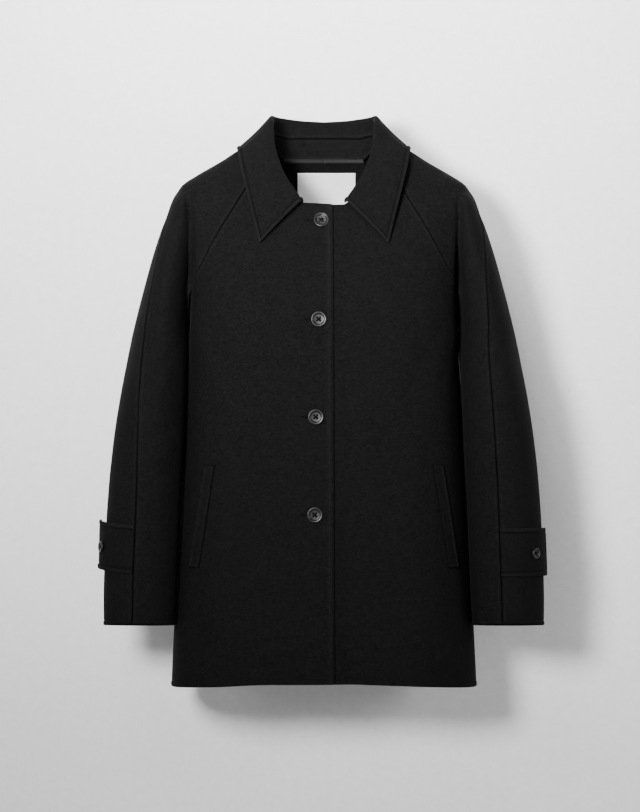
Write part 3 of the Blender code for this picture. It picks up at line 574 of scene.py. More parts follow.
def overarm_x(z, side):
    """Distance from the coat's middle of the seam on top of the sleeve, above the armpit."""
    if z >= SHOULDER_Z:
        return float(column(BODY, "side", z))
    middle, half = sleeve_middle(z)
    return float(middle + half * math.sin(overarm_angle(z, side)))


def fold_x(z, side, face):
    """Distance from the coat's middle of the bottom of the fold between body and sleeve."""
    middle, half = sleeve_middle(z)
    across = np.linspace(middle - half - FOLD_SEARCH, middle, SAMPLES)
    depth = coat_depth(side * across, z, face)
    return float(across[depth < depth.min() + FLAT_BOTTOM].mean())


def seam_at(section, z, side, face):
    """Length along a section's line of a body panel's outer edge: raglan seam or side seam."""
    if z <= ARMPIT_Z:
        return section.at(face, column(BODY, "side", z))
    if z < RAGLAN_IN_FOLD_Z:
        return section.at(face, fold_x(z, side, face)) + FACE_SIGN[face] * float(column(FOLD, "strip", z))
    return section.at(face, column(RAGLAN[face], "x", z))


def front_edge_x(z, side):
    """Signed distance of a front panel's closing edge, towards its own side."""
    if z > FRONT_NECK_Z + 1:
        return float(column(NECK["front"], "x", z))
    if side == LEFT:
        return -UNDERLAP
    share = (z - FRONT_NECK_Z) / (HEM_Z["front"] - FRONT_NECK_Z)
    return -(TOP_EDGE_AT_NECK + (TOP_EDGE_AT_HEM - TOP_EDGE_AT_NECK) * share)


def slope(points, axis):
    """Directions along one axis of a grid of points, true where their spacing is uneven."""
    points = np.moveaxis(points, axis, 0)
    step = np.diff(points, axis=0)
    length = np.maximum(np.linalg.norm(step, axis=-1, keepdims=True), SMALLEST_STEP)
    way = step / length
    between = (way[:-1] * length[1:] + way[1:] * length[:-1]) / (length[:-1] + length[1:])
    return np.moveaxis(np.concatenate([way[:1], between, way[-1:]]), 0, axis)


def shape_hem(points, edge_z, level_z, start_z):
    """Draws the rows below start_z down or up, the lowest row as far as edge_z."""
    share = np.clip((start_z - points[..., 2]) / (start_z - level_z), 0, 1) ** 2
    points[..., 2] += share * (edge_z - level_z)
    return points


def front_stops(section, z, side):
    """Lengths along the line where the stretches of a front's columns start and end.

    Both fronts have the same columns where they overlap and where the lower one sinks under the other.
    """
    last = seam_at(section, z, side, "front") - SEAM_GAP / 2
    first = section.at("front", front_edge_x(z, side))
    if z > FRONT_NECK_Z + 1:
        return [first + (last - first) * share for share in NECK_STOP_SHARES]
    overlap = UNDERLAP if side == RIGHT else -front_edge_x(z, RIGHT)
    return [first, section.at("front", overlap), section.at("front", SINK_FROM), last]


def spread_stretches(section, stops, counts):
    """A row of points through several stretches of a section, each with its own count of steps."""
    parts = [section.spread(start, end, count + 1) for start, end, count in zip(stops, stops[1:], counts)]
    return np.concatenate([part[:-1] for part in parts[:-1]] + [parts[-1]])


def sleeve_ends(section, z, side, face):
    """Lengths along a section's line of a sleeve half's two edges: at the body and on top of the sleeve."""
    if z <= ARMPIT_Z:
        inner = section.at_angle(INNER_ANGLE[face])
        return inner, section.at_angle(overarm_angle(z, side))
    top = section.at("front", overarm_x(z, side))
    if z <= TOP_Z[face]:
        return seam_at(section, z, side, face), top
    return section.at(face, column(NECK[face], "x", z)), top


def fold_share(section, z, side, face, width):
    """Share of a sleeve half's width, from the body's seam, that its first columns cover: up to the fold."""
    even = SLEEVE_STEPS[0] / sum(SLEEVE_STEPS)
    if z > NO_FOLD_Z:
        return FIRST_SHARE_ON_TOP[face]
    if z > RAGLAN_IN_FOLD_Z:
        return abs(section.at(face, fold_x(z, side, face)) - seam_at(section, z, side, face)) / width
    first = float(column(FOLD, "first", z)) / width
    return first + (even - first) * float(smooth_step((ARMPIT_Z - z) / (ARMPIT_Z - SLEEVE_EVEN_Z)))


def sleeve_row(z, side, face):
    """One row of a sleeve's front or back half, from the body's seam to the seam on top."""
    section = CoatSection(z, side) if z > ARMPIT_Z else SleeveSection(z, side)
    body, top = sleeve_ends(section, z, side, face)
    way = 1 if top > body else -1
    body, top = body + way * SEAM_GAP / 2, top - way * SEAM_GAP / 2
    fold = body + (top - body) * fold_share(section, z, side, face, abs(top - body))
    return spread_stretches(section, (body, fold, top), SLEEVE_STEPS)


def neck_edge(shares):
    """Points of the neck edge on the side of +X, at shares of its length from the centre back."""
    flat = np.linspace(0, NECK_BACK_X, NECK_BACK_STEPS)
    rise = np.linspace(0, NECK_BACK_LAST_Z, NECK_SIDE_STEPS)
    fall = np.linspace(NECK_TOP_Z, NECK_FRONT_Z, NECK_FRONT_STEPS)
    line = np.concatenate([
        body_point(flat, 0.0, "back"),
        body_point(column(NECK["back"], "x", rise), rise, "back"),
        body_point(column(NECK["front"], "x", fall), fall, "front"),
    ])
    length = np.concatenate([[0], np.cumsum(np.linalg.norm(np.diff(line, axis=0), axis=1))])
    return np.stack([np.interp(shares * length[-1], length, line[:, k]) for k in range(3)], 1)


def section_share(points):
    """How far out of the body's section points are: 1 on its outline, less inside."""
    z = points[..., 2]
    square = column(BODY, "square", z)
    y = points[..., 1] - column(BODY, "mid", z)
    deep = np.where(y < 0, column(BODY, "front", z), column(BODY, "back", z))
    across = np.abs(points[..., 0]) / column(BODY, "side", z)
    return (across**square + (np.abs(y) / deep) ** square) ** (1 / square)


def clear_of_body(points, clearance):
    """Moves points straight off the body's surface until they are that far from it."""
    step = SLOPE_STEP
    moved = points.copy()
    for _ in range(CLEARING_ROUNDS):
        outwards = np.stack([section_share(moved + step * axis) - section_share(moved - step * axis)
                             for axis in np.eye(3)], -1) / (2 * step)
        steep = np.linalg.norm(outwards, axis=-1)
        short = clearance - (section_share(moved) - 1) / steep
        push = np.where(moved[..., 2] < BODY["z"][-1], np.maximum(short, 0), 0)
        moved = moved + outwards / steep[..., None] * push[..., None]
    return moved


def unit(vectors):
    """Vectors drawn to the length 1."""
    return vectors / np.linalg.norm(vectors, axis=-1, keepdims=True)


def collar_lines(rows):
    """For stations round half the neck: the neck edge, the roll line and the outer edge."""
    station = np.linspace(0, 1, rows)
    roll = np.stack([column(COLLAR, "roll_" + axis, station) for axis in "xyz"], 1)
    edge = np.stack([column(COLLAR, "edge_" + axis, station) for axis in "xyz"], 1)
    return neck_edge(column(COLLAR, "neck", station)), roll, clear_of_body(edge, COLLAR_CLEARANCE)


def stand_height(station, length):
    """Height of the seam between stand and collar above the neck edge: it falls towards the front."""
    return np.maximum(column(COLLAR, "stand", station) * length, NECK_SEAM_HEIGHT)[:, None]


def stand_half(rows, columns):
    """The collar stand's inner face, from just above the neck edge to the seam with the collar."""
    neck, roll, _ = collar_lines(rows)
    station = np.linspace(0, 1, rows)
    rise = unit(roll - neck)
    top = stand_height(station, np.linalg.norm(roll - neck, axis=1)) - SEAM_GAP
    low = np.full_like(top, NECK_SEAM_HEIGHT)
    share = np.linspace(0, 1, columns)[None, :]
    points = neck[:, None] + rise[:, None] * (low + (top - low) * share)[..., None]
    return points[station < STAND_END]


def fall_half(rows, leg, turn, leaf):
    """The collar's shown face: up inside the neck from the stand, round the roll and down to its edge."""
    neck, roll, edge = collar_lines(rows)
    rise = unit(roll - neck)
    fall = unit(edge - roll)
    out = unit(fall - rise * np.sum(fall * rise, 1, keepdims=True))
    station = np.linspace(0, 1, rows)
    largest = ROLL_SHARE * np.linalg.norm(roll - neck, axis=1)
    radius = np.minimum(column(COLLAR, "radius", station), largest)[:, None]
    base = roll - rise * radius
    seam = neck + rise * stand_height(station, np.linalg.norm(roll - neck, axis=1))
    inner = seam[:, None] + (base - seam)[:, None] * np.linspace(0, 1, leg)[None, :, None]
    last = np.arccos(np.clip(np.sum(fall * rise, 1), -1, 1))
    angle = last[:, None] * np.linspace(0, 1, turn)[None, 1:]
    bend = base[:, None] + radius[:, None] * ((1 - np.cos(angle))[..., None] * out[:, None]
                                              + np.sin(angle)[..., None] * rise[:, None])
    share = np.linspace(0, 1, leaf)[None, 1:, None]
    outer = bend[:, -1:] + (edge - bend[:, -1])[:, None] * share
    arch = unit(np.cross(fall, np.gradient(edge, axis=0)))
    arch = arch * np.sign(np.sum(arch * out, 1, keepdims=True))
    height = column(COLLAR, "arch", station)[:, None, None]
    outer = outer + arch[:, None] * height * np.sin(math.pi * share)
    outer = clear_of_body(outer, COLLAR_CLEARANCE)
    return np.concatenate([inner, bend, outer], 1)


def whole_collar(half):
    """Both halves of a collar piece, from the front end on the right to the one on the left."""
    mirror = half[:0:-1] * np.array([-1, 1, 1])
    return np.concatenate([mirror, half])


def fine_levels(levels):
    """Levels a row step apart from the lowest section to the highest, through the sections' own levels."""
    parts = [np.linspace(low, high, max(2, math.ceil((high - low) / ROW_STEP)) + 1)[:-1]
             for low, high in zip(levels, levels[1:])]
    return np.concatenate(parts + [levels[-1:]])


def loft(levels, row_at):
    """A grid through level sections: every column is a smooth curve through its points on them."""
    levels = np.array(sorted(levels), float)
    rows = np.stack([row_at(z) for z in levels])
    return smooth_curve(levels, rows, fine_levels(levels))


def body_grid(face, row_at):
    """A body panel's grid through its rows, with a hem that curves from the middle's height to the side's."""
    points = loft({z for z in UPPER_ROWS + BODY_ROWS if z <= TOP_Z[face]}, row_at)
    share = np.abs(points[..., 0]) / column(BODY, "side", points[..., 2])
    edge_z = HEM_Z[face] + (SIDE_HEM_Z - HEM_Z[face]) * share**2
    return shape_hem(points, edge_z, HEM_LEVEL_Z, HEM_SHAPED_FROM_Z)


def front_grid(side):
    """A front's grid: sections from its closing edge or the neck edge to the raglan or side seam."""

    def row_at(z):
        section = CoatSection(z, side)
        return spread_stretches(section, front_stops(section, z, side), FRONT_STEPS)

    return body_grid("front", row_at)


def back_grid():
    """The back's grid: sections from the right raglan or side seam over the centre back to the left one."""

    def row_at(z):
        halves = []
        for side in (RIGHT, LEFT):
            section = CoatSection(z, side)
            start = seam_at(section, z, side, "back") + SEAM_GAP / 2
            halves.append(section.spread(start, section.at("back", 0.0), BACK_HALF_COLUMNS))
        return np.concatenate([halves[0], halves[1][-2::-1]])

    return body_grid("back", row_at)


def sleeve_grid(side, face):
    """A sleeve half's grid: sections from the seam at the body, round to the seam on top of the sleeve."""
    points = loft(set(UPPER_ROWS + SLEEVE_ROWS), lambda z: sleeve_row(z, side, face))
    depth = (points[..., 1] - column(SLEEVE, "mid", CUFF_Z)) / column(SLEEVE, "depth", CUFF_Z)
    edge_z = CUFF_Z - CUFF_BACK_DROP * np.clip(depth, -1, 1)
    return shape_hem(points, edge_z, CUFF_Z, CUFF_SHAPED_FROM_Z)


def refine(grid, first, last):
    """The same grid with lines added at set distances from the first and last edge of its second axis.

    A grid holds points and any values that go with them; each point's distance from both edges is added.
    """
    step = np.linalg.norm(np.diff(grid[..., :3], axis=1), axis=2)
    length = np.concatenate([np.zeros((len(grid), 1)), np.cumsum(step, 1)], 1)
    whole = length[:, -1:]
    shrink = np.minimum(1, LARGEST_EDGE_SHARE * whole / max(first[-1], last[-1]))
    begin, end = first * shrink, last * shrink
    inner = length[:, 1:-1] / whole
    middle = begin[:, -1:] + (whole - end[:, -1:] - begin[:, -1:]) * inner
    at = np.concatenate([begin, middle, whole - end[:, ::-1]], 1)
    kinds = range(grid.shape[2])
    lines = [[np.interp(a, s, row[:, k]) for k in kinds] for a, s, row in zip(at, length, grid)]
    return np.concatenate([np.array(lines).transpose(0, 2, 1), at[..., None], (whole - at)[..., None]], 2)


def rounding(distance, kind):
    """Fall of a face towards an edge, as a quarter circle."""
    share = np.clip(distance / ROUND_WIDTH[kind], 0, 1)
    return -ROUND_DEPTH * (1 - np.sqrt(1 - (1 - share) ** 2))


def lip(distance, kind, z):
    """Rise near an edge: a turned-in lip with a groove behind it, a soft roll, or a seam's low ridge.

    A raglan seam's ridge dies out towards the armpit, where sleeve and body lie close together.
    """
    if kind in ("turned", "hem"):
        raised = LIP_RISE * (1 - smooth_step((distance - LIP_WIDTH) / LIP_FALL_WIDTH))
        groove = GROOVE_DEPTH * bell(distance, GROOVE_AT, GROOVE_WIDTH)
        return (raised - groove) * (HEM_SHARE if kind == "hem" else 1.0)
    if kind == "plain":
        return np.zeros_like(distance)
    if kind == "rolled":
        return ROLL_RISE * bell(distance, ROLL_AT, ROLL_WIDTH)
    ridge = SEAM_RISE * bell(distance, SEAM_RIDGE_AT, SEAM_RIDGE_WIDTH)
    return ridge * smooth_step((z - RAGLAN_IN_FOLD_Z) / RAGLAN_FADE) if kind == "raglan" else ridge


def painted_edge_shading(distance, kind):
    """Share of the cloth's colour near an edge, with painted light and shade: a painted highlight on a lip,
    roll or ridge, painted shade in a groove or ditch.
    """
    if kind in ("plain", "hem"):
        return np.ones_like(distance)
    if kind == "turned":
        painted_highlight = PAINTED_LIGHT_ON_LIP * (1 - smooth_step((distance - LIP_WIDTH + GROOVE_WIDTH) / GROOVE_WIDTH))
        return 1 + painted_highlight - PAINTED_SHADE_IN_GROOVE * bell(distance, GROOVE_AT, GROOVE_WIDTH)
    if kind == "rolled":
        return 1 + PAINTED_LIGHT_ON_LIP * bell(distance, ROLL_AT, ROLL_WIDTH)
    painted_highlight = PAINTED_LIGHT_ON_RIDGE * bell(distance, SEAM_RIDGE_AT + SEAM_DITCH, SEAM_RIDGE_WIDTH)
    return 1 + painted_highlight - PAINTED_SHADE_IN_SEAM * bell(distance, 0, SEAM_DITCH)


def round_corners(points, distances, edges):
    """Draws in the corners between two turned edges, as a square is drawn in to the circle inside it."""
    along = [slope(points, 1), -slope(points, 1), slope(points, 0), -slope(points, 0)]
    moved = points.copy()
    for first in (0, 1):
        for second in (2, 3):
            if edges[first] not in ("turned", "rolled") or edges[second] not in ("turned", "hem"):
                continue
            near = [np.clip(1 - distances[..., k] / CORNER_RADIUS, 0, 1) for k in (first, second)]
            for k, own, other in ((first, near[0], near[1]), (second, near[1], near[0])):
                inwards = CORNER_RADIUS * own * (1 - np.sqrt(1 - other**2 / 2))
                moved = moved + along[k] * inwards[..., None]
    return moved


def outward(points, direction):
    """Unit directions out of a grid's face, on the side that a direction points to at its middle."""
    out = unit(np.cross(slope(points, 1), slope(points, 0)))
    middle = out[out.shape[0] // 2, out.shape[1] // 2]
    return out if np.dot(middle, direction) > 0 else -out


def cloth_faces(points, edges, direction, relief_at=None, thick=CLOTH):
    """Shown face, hidden face, middle and painted edge light and shade of a piece of cloth over a grid of
    points.

    The edges are those of the grid's first and last column and of its first and last row, each named by its
    kind. Near an edge the faces are moved along the outward direction by that kind's profile, and everywhere
    the piece follows its own relief.
    """
    grid = refine(points, EDGE_LINES[edges[0]], EDGE_LINES[edges[1]]).swapaxes(0, 1)
    grid = refine(grid, EDGE_LINES[edges[2]], EDGE_LINES[edges[3]]).swapaxes(0, 1)
    points, distances = grid[..., :3], grid[..., 3:]
    out = outward(points, direction)
    points = round_corners(points, distances, edges)
    if relief_at is not None:
        points = points + out * relief_at(points)[..., None]
    z = points[..., 2]
    lips = np.stack([lip(distances[..., k], kind, z) for k, kind in enumerate(edges)])
    falls = [rounding(distances[..., k], kind) for k, kind in enumerate(edges)]
    edge = np.min(falls, axis=0) * thick / CLOTH
    shown = points + out * (lips.max(0) + np.minimum(lips.min(0), 0) + edge)[..., None]
    hidden = points - out * (thick + edge)[..., None]
    # Painted highlight on lips, rolls and ridges, painted shade in grooves and seams, as shares of the
    # cloth's colour
    edge_shading_factor = np.prod([painted_edge_shading(distances[..., k], kind) for k, kind in enumerate(edges)], axis=0)
    return shown, hidden, points, edge_shading_factor


def crease(across, up, row):
    """Height of one crease: a soft ridge or trough along a straight line that fades out at both ends."""
    start, end = np.array(row[:2], float), np.array(row[2:4], float)
    width, rise = row[4:]
    way = end - start
    length = math.hypot(*way)
    way = way / length
    along = ((across - start[0]) * way[0] + (up - start[1]) * way[1]) / length
    beside = (across - start[0]) * way[1] - (up - start[1]) * way[0]
    fade = np.exp(-(np.abs(2 * along - 1) ** 4))
    return rise * fade * bell(beside, 0, width)


def slow_waves(across, up):
    """The cloth's own unevenness: the sum of products of two long, low waves."""
    total = 0.0
    for share, *pair in WAVES:
        first, second = [np.sin(across / wide + up / high + start) for wide, high, start in pair]
        total = total + share * first * second
    return WAVE_HEIGHT * total


def fold_ridge(points, face):
    """The ridge and trough that run down from the shoulder beside the fold between body and sleeve."""
    x, z = points[..., 0], points[..., 2]
    at = np.where(x < 0, column(FOLD_RIDGE, "right", z), column(FOLD_RIDGE, "left", z))
    beside = np.abs(x) - at
    ridge = RIDGE_RISE * bell(beside, 0, RIDGE_WIDTH)
    trough = TROUGH_FALL * bell(beside, TROUGH_SHIFT, TROUGH_WIDTH)
    fade = smooth_step((SHOULDER_Z - z) / RIDGE_FADE_TOP) * smooth_step((z - RIDGE_END_Z) / RIDGE_FADE_END)
    on_face = points[..., 1] * FACE_SIGN[face] > 0
    return np.where(on_face, (ridge - trough) * fade, 0)


def creases(rows, across, up):
    """All the creases of one face, and the cloth's unevenness."""
    return sum(crease(across, up, row) for row in rows) + slow_waves(across, up)


def body_creases(face):
    """Height of the creases on the body's front or back, at points."""

    def height(points):
        low = creases(BODY_CREASES[face], points[..., 0], points[..., 2]) * below_shoulder(points)
        return low + fold_ridge(points, face)

    return height


def sleeve_creases(side, face):
    """Height of the creases on a sleeve's front or back half, at points."""
    rows = SLEEVE_FRONT_CREASES[side] if face == "front" else SLEEVE_BACK_CREASES

    def height(points):
        z = points[..., 2]
        middle, _ = sleeve_middle(z)
        clear_of_tab = smooth_step((z - TAB_TOP_Z[side]) / TAB_FADE)
        low = creases(rows, np.abs(points[..., 0]) - middle, z) * below_shoulder(points) * clear_of_tab
        return low + fold_ridge(points, face)

    return height


def below_shoulder(points):
    """Fades the creases out towards the neck and the shoulder's top, under the collar."""
    return smooth_step((CREASE_TOP_Z - points[..., 2]) / CREASE_FADE)


def grid_faces(rows, columns):
    """Four corners for each cell of a grid of points."""
    number = np.arange(rows * columns).reshape(rows, columns)
    cells = np.stack([number[:-1, :-1], number[1:, :-1], number[1:, 1:], number[:-1, 1:]], -1)
    return number, cells.reshape(-1, 4)


def wall_mesh(name, shown, hidden, edge_shading_factor=None):
    """A closed wall: two faces on the same grid and the rim between them, with the cloth's painted edge light
    and shade.
    """
    number, cells = grid_faces(*shown.shape[:2])
    ring = np.concatenate([number[0, :-1], number[:-1, -1], number[-1, :0:-1], number[:0:-1, 0]])
    following = np.roll(ring, -1)
    behind = number.size
    rims = np.stack([ring, following, following + behind, ring + behind], 1)
    faces = np.concatenate([cells, cells[:, ::-1] + behind, rims])
    mesh = closed_mesh(name, np.concatenate([shown.reshape(-1, 3), hidden.reshape(-1, 3)]), faces)
    # The point attribute holds painted highlight on edges and painted shade in grooves and seams
    if edge_shading_factor is not None:
        mesh.attributes.new("painted_edge_shading", "FLOAT", "POINT").data.foreach_set("value", np.tile(edge_shading_factor.ravel(), 2))
    return mesh


def closed_mesh(name, points, faces, weld=False):
    """A mesh of closed surfaces that faces outwards, shaded smooth. Weld joins points at one place."""
    mesh = bpy.data.meshes.new(name)
    mesh.from_pydata((points * MM).tolist(), [], faces.tolist())
    work = bmesh.new()
    work.from_mesh(mesh)
    if weld:
        bmesh.ops.remove_doubles(work, verts=work.verts[:], dist=WELD)
    bmesh.ops.recalc_face_normals(work, faces=work.faces[:])
    if work.calc_volume(signed=True) < 0:
        bmesh.ops.reverse_faces(work, faces=work.faces[:])
    work.to_mesh(mesh)
    work.free()
    mesh.shade_smooth()
    return mesh


def add_piece(mesh, finish, slot, *nodes):
    """Adds a piece to the coat's one body, in place of the solids it stands for."""
    piece = bpy.data.objects.new(mesh.name, mesh)
    bpy.context.scene.collection.objects.link(piece)
    mesh.materials.append(finish)
    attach(piece, BODY_NAME)
    if nodes:
        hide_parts(*nodes)
    return piece


def lengths(points, axis):
    """Lengths along the lines of a grid."""
    return np.linalg.norm(np.diff(points, axis=axis), axis=2).sum(axis)


def declare_cut(piece, points, held, rests_on=(), with_pieces=(), turn_in=0.0):
    """Works out the flat size a piece of cloth was cut to, measured along its rows and columns, and its area,
    but neither keeps nor states them.

    What its first and last row turn in is added to what shows.
    """
    width, length = lengths(points, 1).max() * MM, (lengths(points, 0).max() + 2 * turn_in) * MM
    across, down = np.diff(points, axis=1)[:-1], np.diff(points, axis=0)[:, :-1]
    area = np.linalg.norm(np.cross(across, down), axis=2).sum() * MM**2 + 2 * turn_in * MM * width
    area = min(area, width * length)
    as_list(rests_on)


def cloth_piece(name, node, grid, edges, direction, finish, relief_at=None, thick=CLOTH):
    """A piece of cloth over a grid, in place of its solid. Gives the piece and the middle of its cloth."""
    shown, hidden, middle, edge_shading_factor = cloth_faces(grid, edges, direction, relief_at, thick)
    return add_piece(wall_mesh(name, shown, hidden, edge_shading_factor), finish, "wool", node), middle


def make_body(wool):
    """Fronts and back. The lower front is let down under the upper one where they overlap."""
    pieces = {}
    for side, word in SIDES:
        grid = front_grid(side)
        if side == LEFT:
            under = smooth_step((SINK_FROM - grid[..., 0]) / (SINK_FROM - SINK_TO))
            grid = grid - outward(grid, (0, -1, 0)) * (under * (CLOTH + LAYER_GAP))[..., None]
        edges = ("rolled" if side == RIGHT else "plain", "raglan", "hem", "plain")
        name = f"front_{word}"
        height = body_creases("front")
        pieces[name] = cloth_piece(f"{name}_cloth", name, grid, edges, (0, -1, 0), wool, height)
    edges = ("raglan", "raglan", "hem", "plain")
    height = body_creases("back")
    pieces["back"] = cloth_piece("back_cloth", "back", back_grid(), edges, (0, 1, 0), wool, height)
    return pieces


def make_sleeves(wool):
    """Front and back half of each sleeve."""
    edges = ("raglan", "seam", "hem", "plain")
    for side, word in SIDES:
        for face in ("front", "back"):
            name = f"sleeve_{word}_{face}"
            direction = (0, -1, 0) if face == "front" else (side, 1, 0)
            grid, height = sleeve_grid(side, face), sleeve_creases(side, face)
            piece, middle = cloth_piece(f"{name}_cloth", name, grid, edges, direction, wool, height)
            declare_cut(piece, middle, "hung", ["collar_stand"])


def make_collar(wool):
    """The stand inside the neck, and the collar that folds over it."""
    stand = whole_collar(stand_half(COLLAR_HALF_ROWS, STAND_COLUMNS))
    piece, middle = cloth_piece("collar_stand_cloth", "collar_stand", stand, ("seam",) * 4, (0, -1, 0), wool)
    declare_cut(piece, middle, "hung", ["back_cloth"])
    fall = whole_collar(fall_half(COLLAR_HALF_ROWS, *FALL_COLUMNS))
    edges = ("seam", "turned", "turned", "turned")
    piece, middle = cloth_piece("collar_cloth", "collar", fall, edges, (0, 1, 0), wool)
    declare_cut(piece, middle, "folded", ["collar_stand_cloth"])


def body_surface(x, z, face="front"):
    """Points of the creased front or back at (x, z), and the directions out of the cloth there."""
    step = SLOPE_STEP
    across = (body_depth(x + step, z, face) - body_depth(x - step, z, face)) / (2 * step)
    down = (body_depth(x, z + step, face) - body_depth(x, z - step, face)) / (2 * step)
    out = unit(np.stack(np.broadcast_arrays(-across, float(FACE_SIGN[face]), -down), -1))
    point = body_point(x, z, face)
    return point + out * body_creases(face)(point)[..., None], out


def make_welts(wool):
    """Pocket welts: the front's own points inside a slanting outline, moved out past the cloth."""
    for side, word in SIDES:
        down = np.linspace(0, 1, WELT_GRID[0])[:, None]
        over = np.linspace(0, 1, WELT_GRID[1])[None, :]
        x = side * (WELT_TOP_X + (WELT_LOW_X - WELT_TOP_X) * down + WELT_WIDTH * over)
        z = WELT_TOP_Z + (WELT_LOW_Z - WELT_TOP_Z) * down + 0 * over
        points, out = body_surface(x, z)
        points = points + out * (TRIM_GAP + WELT_THICK)
        name = f"pocket_welt_{word}"
        piece, middle = cloth_piece(
            f"{name}_cloth", name, points, ("seam",) * 4, (0, -1, 0), wool, thick=WELT_THICK)
        declare_cut(piece, middle, "laid", [f"front_{word}_cloth"])


def tab_grid(side, rows, columns):
    """A cuff tab's grid: the sleeve's own sections from the seam on top round its outer side, moved out.

    Towards its end the tab stands off further, with the square of the distance, and slants.
    """
    lines = []
    for down in np.linspace(0, 1, rows):
        z = TAB_TOP_Z[side] - TAB_HEIGHT * down
        section = SleeveSection(z, side)
        start = section.at_angle(overarm_angle(z, side)) + TAB_FROM_SEAM
        lines.append(section.spread(start, start + TAB_LENGTH, columns))
    points = np.stack(lines)
    share = np.linspace(0, 1, columns)[None, :, None]
    points = points + outward(points, (side, -1, 0)) * (TRIM_GAP + TAB_THICK + TAB_LIFT[side] * share**2)
    points[..., 2] += TAB_SLANT[side] * share[..., 0]
    return points


def make_tabs(wool):
    """A tab on each cuff, sewn in at the seam on top of the sleeve."""
    edges = ("plain", "turned", "turned", "turned")
    for side, word in SIDES:
        name = f"cuff_tab_{word}"
        grid = tab_grid(side, *TAB_GRID)
        piece, middle = cloth_piece(f"{name}_cloth", name, grid, edges, (side, -1, 0), wool, thick=TAB_THICK)
        declare_cut(piece, middle, "laid", [f"sleeve_{word}_back_cloth"])


def tape_grid(rows, columns):
    """The neck tape's grid: the collar's own neck edge, moved in past the cloth, then up and down."""
    neck, roll, _ = collar_lines(rows)
    rise = unit(roll - neck)
    inwards = unit(np.cross(rise, slope(neck, 0)))
    inwards = inwards * -np.sign(inwards[:1, 1:2])
    up = np.linspace(TAPE_LOW, TAPE_HIGH, columns)[None, :, None]
    half = (neck + inwards * (CLOTH + TRIM_GAP + TAPE_THICK))[:, None] + rise[:, None] * up
    return whole_collar(half[np.linspace(0, 1, rows) < TAPE_END])


def make_neck_tape(satin):
    """A satin tape over the neck seam, rounded across, with a seam at its middle."""
    points = tape_grid(*TAPE_GRID)
    out = outward(points, (0, -1, 0))
    share = np.linspace(-1, 1, TAPE_GRID[1])[None, :]
    seam = bell(points[..., 0], 0, TAPE_SEAM_WIDTH)
    crown = TAPE_CROWN * np.sqrt(1 - share**2) * (1 - TAPE_SEAM_SHARE * seam)
    mesh = wall_mesh("neck_tape_satin", points + out * crown[..., None], points - out * TAPE_THICK)
    piece = add_piece(mesh, satin, "tape", "neck_tape")
    declare_cut(piece, points.swapaxes(0, 1), "laid", ["back_cloth"], turn_in=TAPE_TURN_IN)


def make_label(label_cloth):
    """A blank woven label with folded ends that stand a little proud."""
    x = LABEL_MIDDLE_X + LABEL_WIDTH * np.linspace(-0.5, 0.5, LABEL_GRID[1])[None, :]
    z = LABEL_TOP_Z - LABEL_HEIGHT * np.linspace(0, 1, LABEL_GRID[0])[:, None] + 0 * x
    points, out = body_surface(x + 0 * z, z, "back")
    points, out = points - out * (CLOTH + TRIM_GAP + LABEL_THICK), -out
    from_end = LABEL_WIDTH / 2 - np.abs(points[..., 0] - LABEL_MIDDLE_X)
    fold = LABEL_FOLD_RISE * (1 - smooth_step((from_end - LABEL_FOLD) / LABEL_FOLD_EDGE))
    mesh = wall_mesh("label_cloth", points + out * fold[..., None], points - out * LABEL_THICK)
    piece = add_piece(mesh, label_cloth, "label", "label")
    declare_cut(piece, points, "laid", ["back_cloth"])


def frame_of(out):
    """Two directions across a direction: one level, one up."""
    level = unit(np.cross((0.0, 0.0, 1.0), out))
    return level, np.cross(out, level)


def button_points(across):
    """A button turned about its axis: points as (along, up, out) from the middle of its base.

    The profile runs from the dish's middle over the rim to the flat underside. Four pits make the holes.
    """
    radius = across / 2
    share, height = np.array(BUTTON_PROFILE, float).T
    t = np.linspace(0, len(share) - 1, BUTTON_RINGS)
    knots = np.arange(len(share), dtype=float)
    share, height = smooth_curve(knots, share, t), smooth_curve(knots, height, t)
    turn = np.linspace(0, 2 * math.pi, BUTTON_TURN, endpoint=False)[None, :]
    along, up = radius * share[:, None] * np.cos(turn), radius * share[:, None] * np.sin(turn)
    high = BUTTON_THICK * height[:, None] + 0 * turn
    for hole_along, hole_up in HOLE_PLACES:
        far = np.hypot(along - hole_along * radius, up - hole_up * radius) / (HOLE_RADIUS * radius)
        high = high - np.where(t[:, None] < DISH_KNOTS, HOLE_DEPTH * np.exp(-(far**6)), 0)
    return np.stack([along, up, high], -1)


def tube(path, radius, sides=TUBE_SIDES):
    """Points of a tube along a path, with rounded ends: circles across the path, closing at both ends."""
    way = unit(np.gradient(path, axis=0))
    side = unit(np.cross(way, NOT_ALONG_A_THREAD))
    above = np.cross(way, side)
    turn = np.linspace(0, 2 * math.pi, sides, endpoint=False)
    wide = np.broadcast_to(radius, len(path))[:, None, None]
    circle = side[:, None] * np.cos(turn)[None, :, None] + above[:, None] * np.sin(turn)[None, :, None]
    body = path[:, None] + wide * circle
    ends = [np.repeat(path[k][None, None], sides, 1) for k in (0, -1)]
    return np.concatenate([ends[0], body, ends[1]])


def thread_points(across):
    """Strands of thread over a button's dish, from hole to opposite hole: two bundles that cross."""
    radius = across / 2
    dish = BUTTON_PROFILE[0][1] * BUTTON_THICK
    strands = []
    for first, last, height in BUNDLES:
        start, end = np.array(HOLE_PLACES[first]) * radius, np.array(HOLE_PLACES[last]) * radius
        way = unit(end - start)
        for offset in STRAND_OFFSETS:
            share = np.linspace(-STRAND_OVERRUN, 1 + STRAND_OVERRUN, STRAND_STEPS)
            beside = np.array([-way[1], way[0]]) * offset * radius
            flat = start + (end - start) * share[:, None] + beside
            rise = dish + height * np.sqrt(np.clip(1 - (2 * share - 1) ** 2, 0, 1)) - STRAND_SINK
            strands.append(tube(np.column_stack([flat, rise]), THREAD_RADIUS))
    return strands


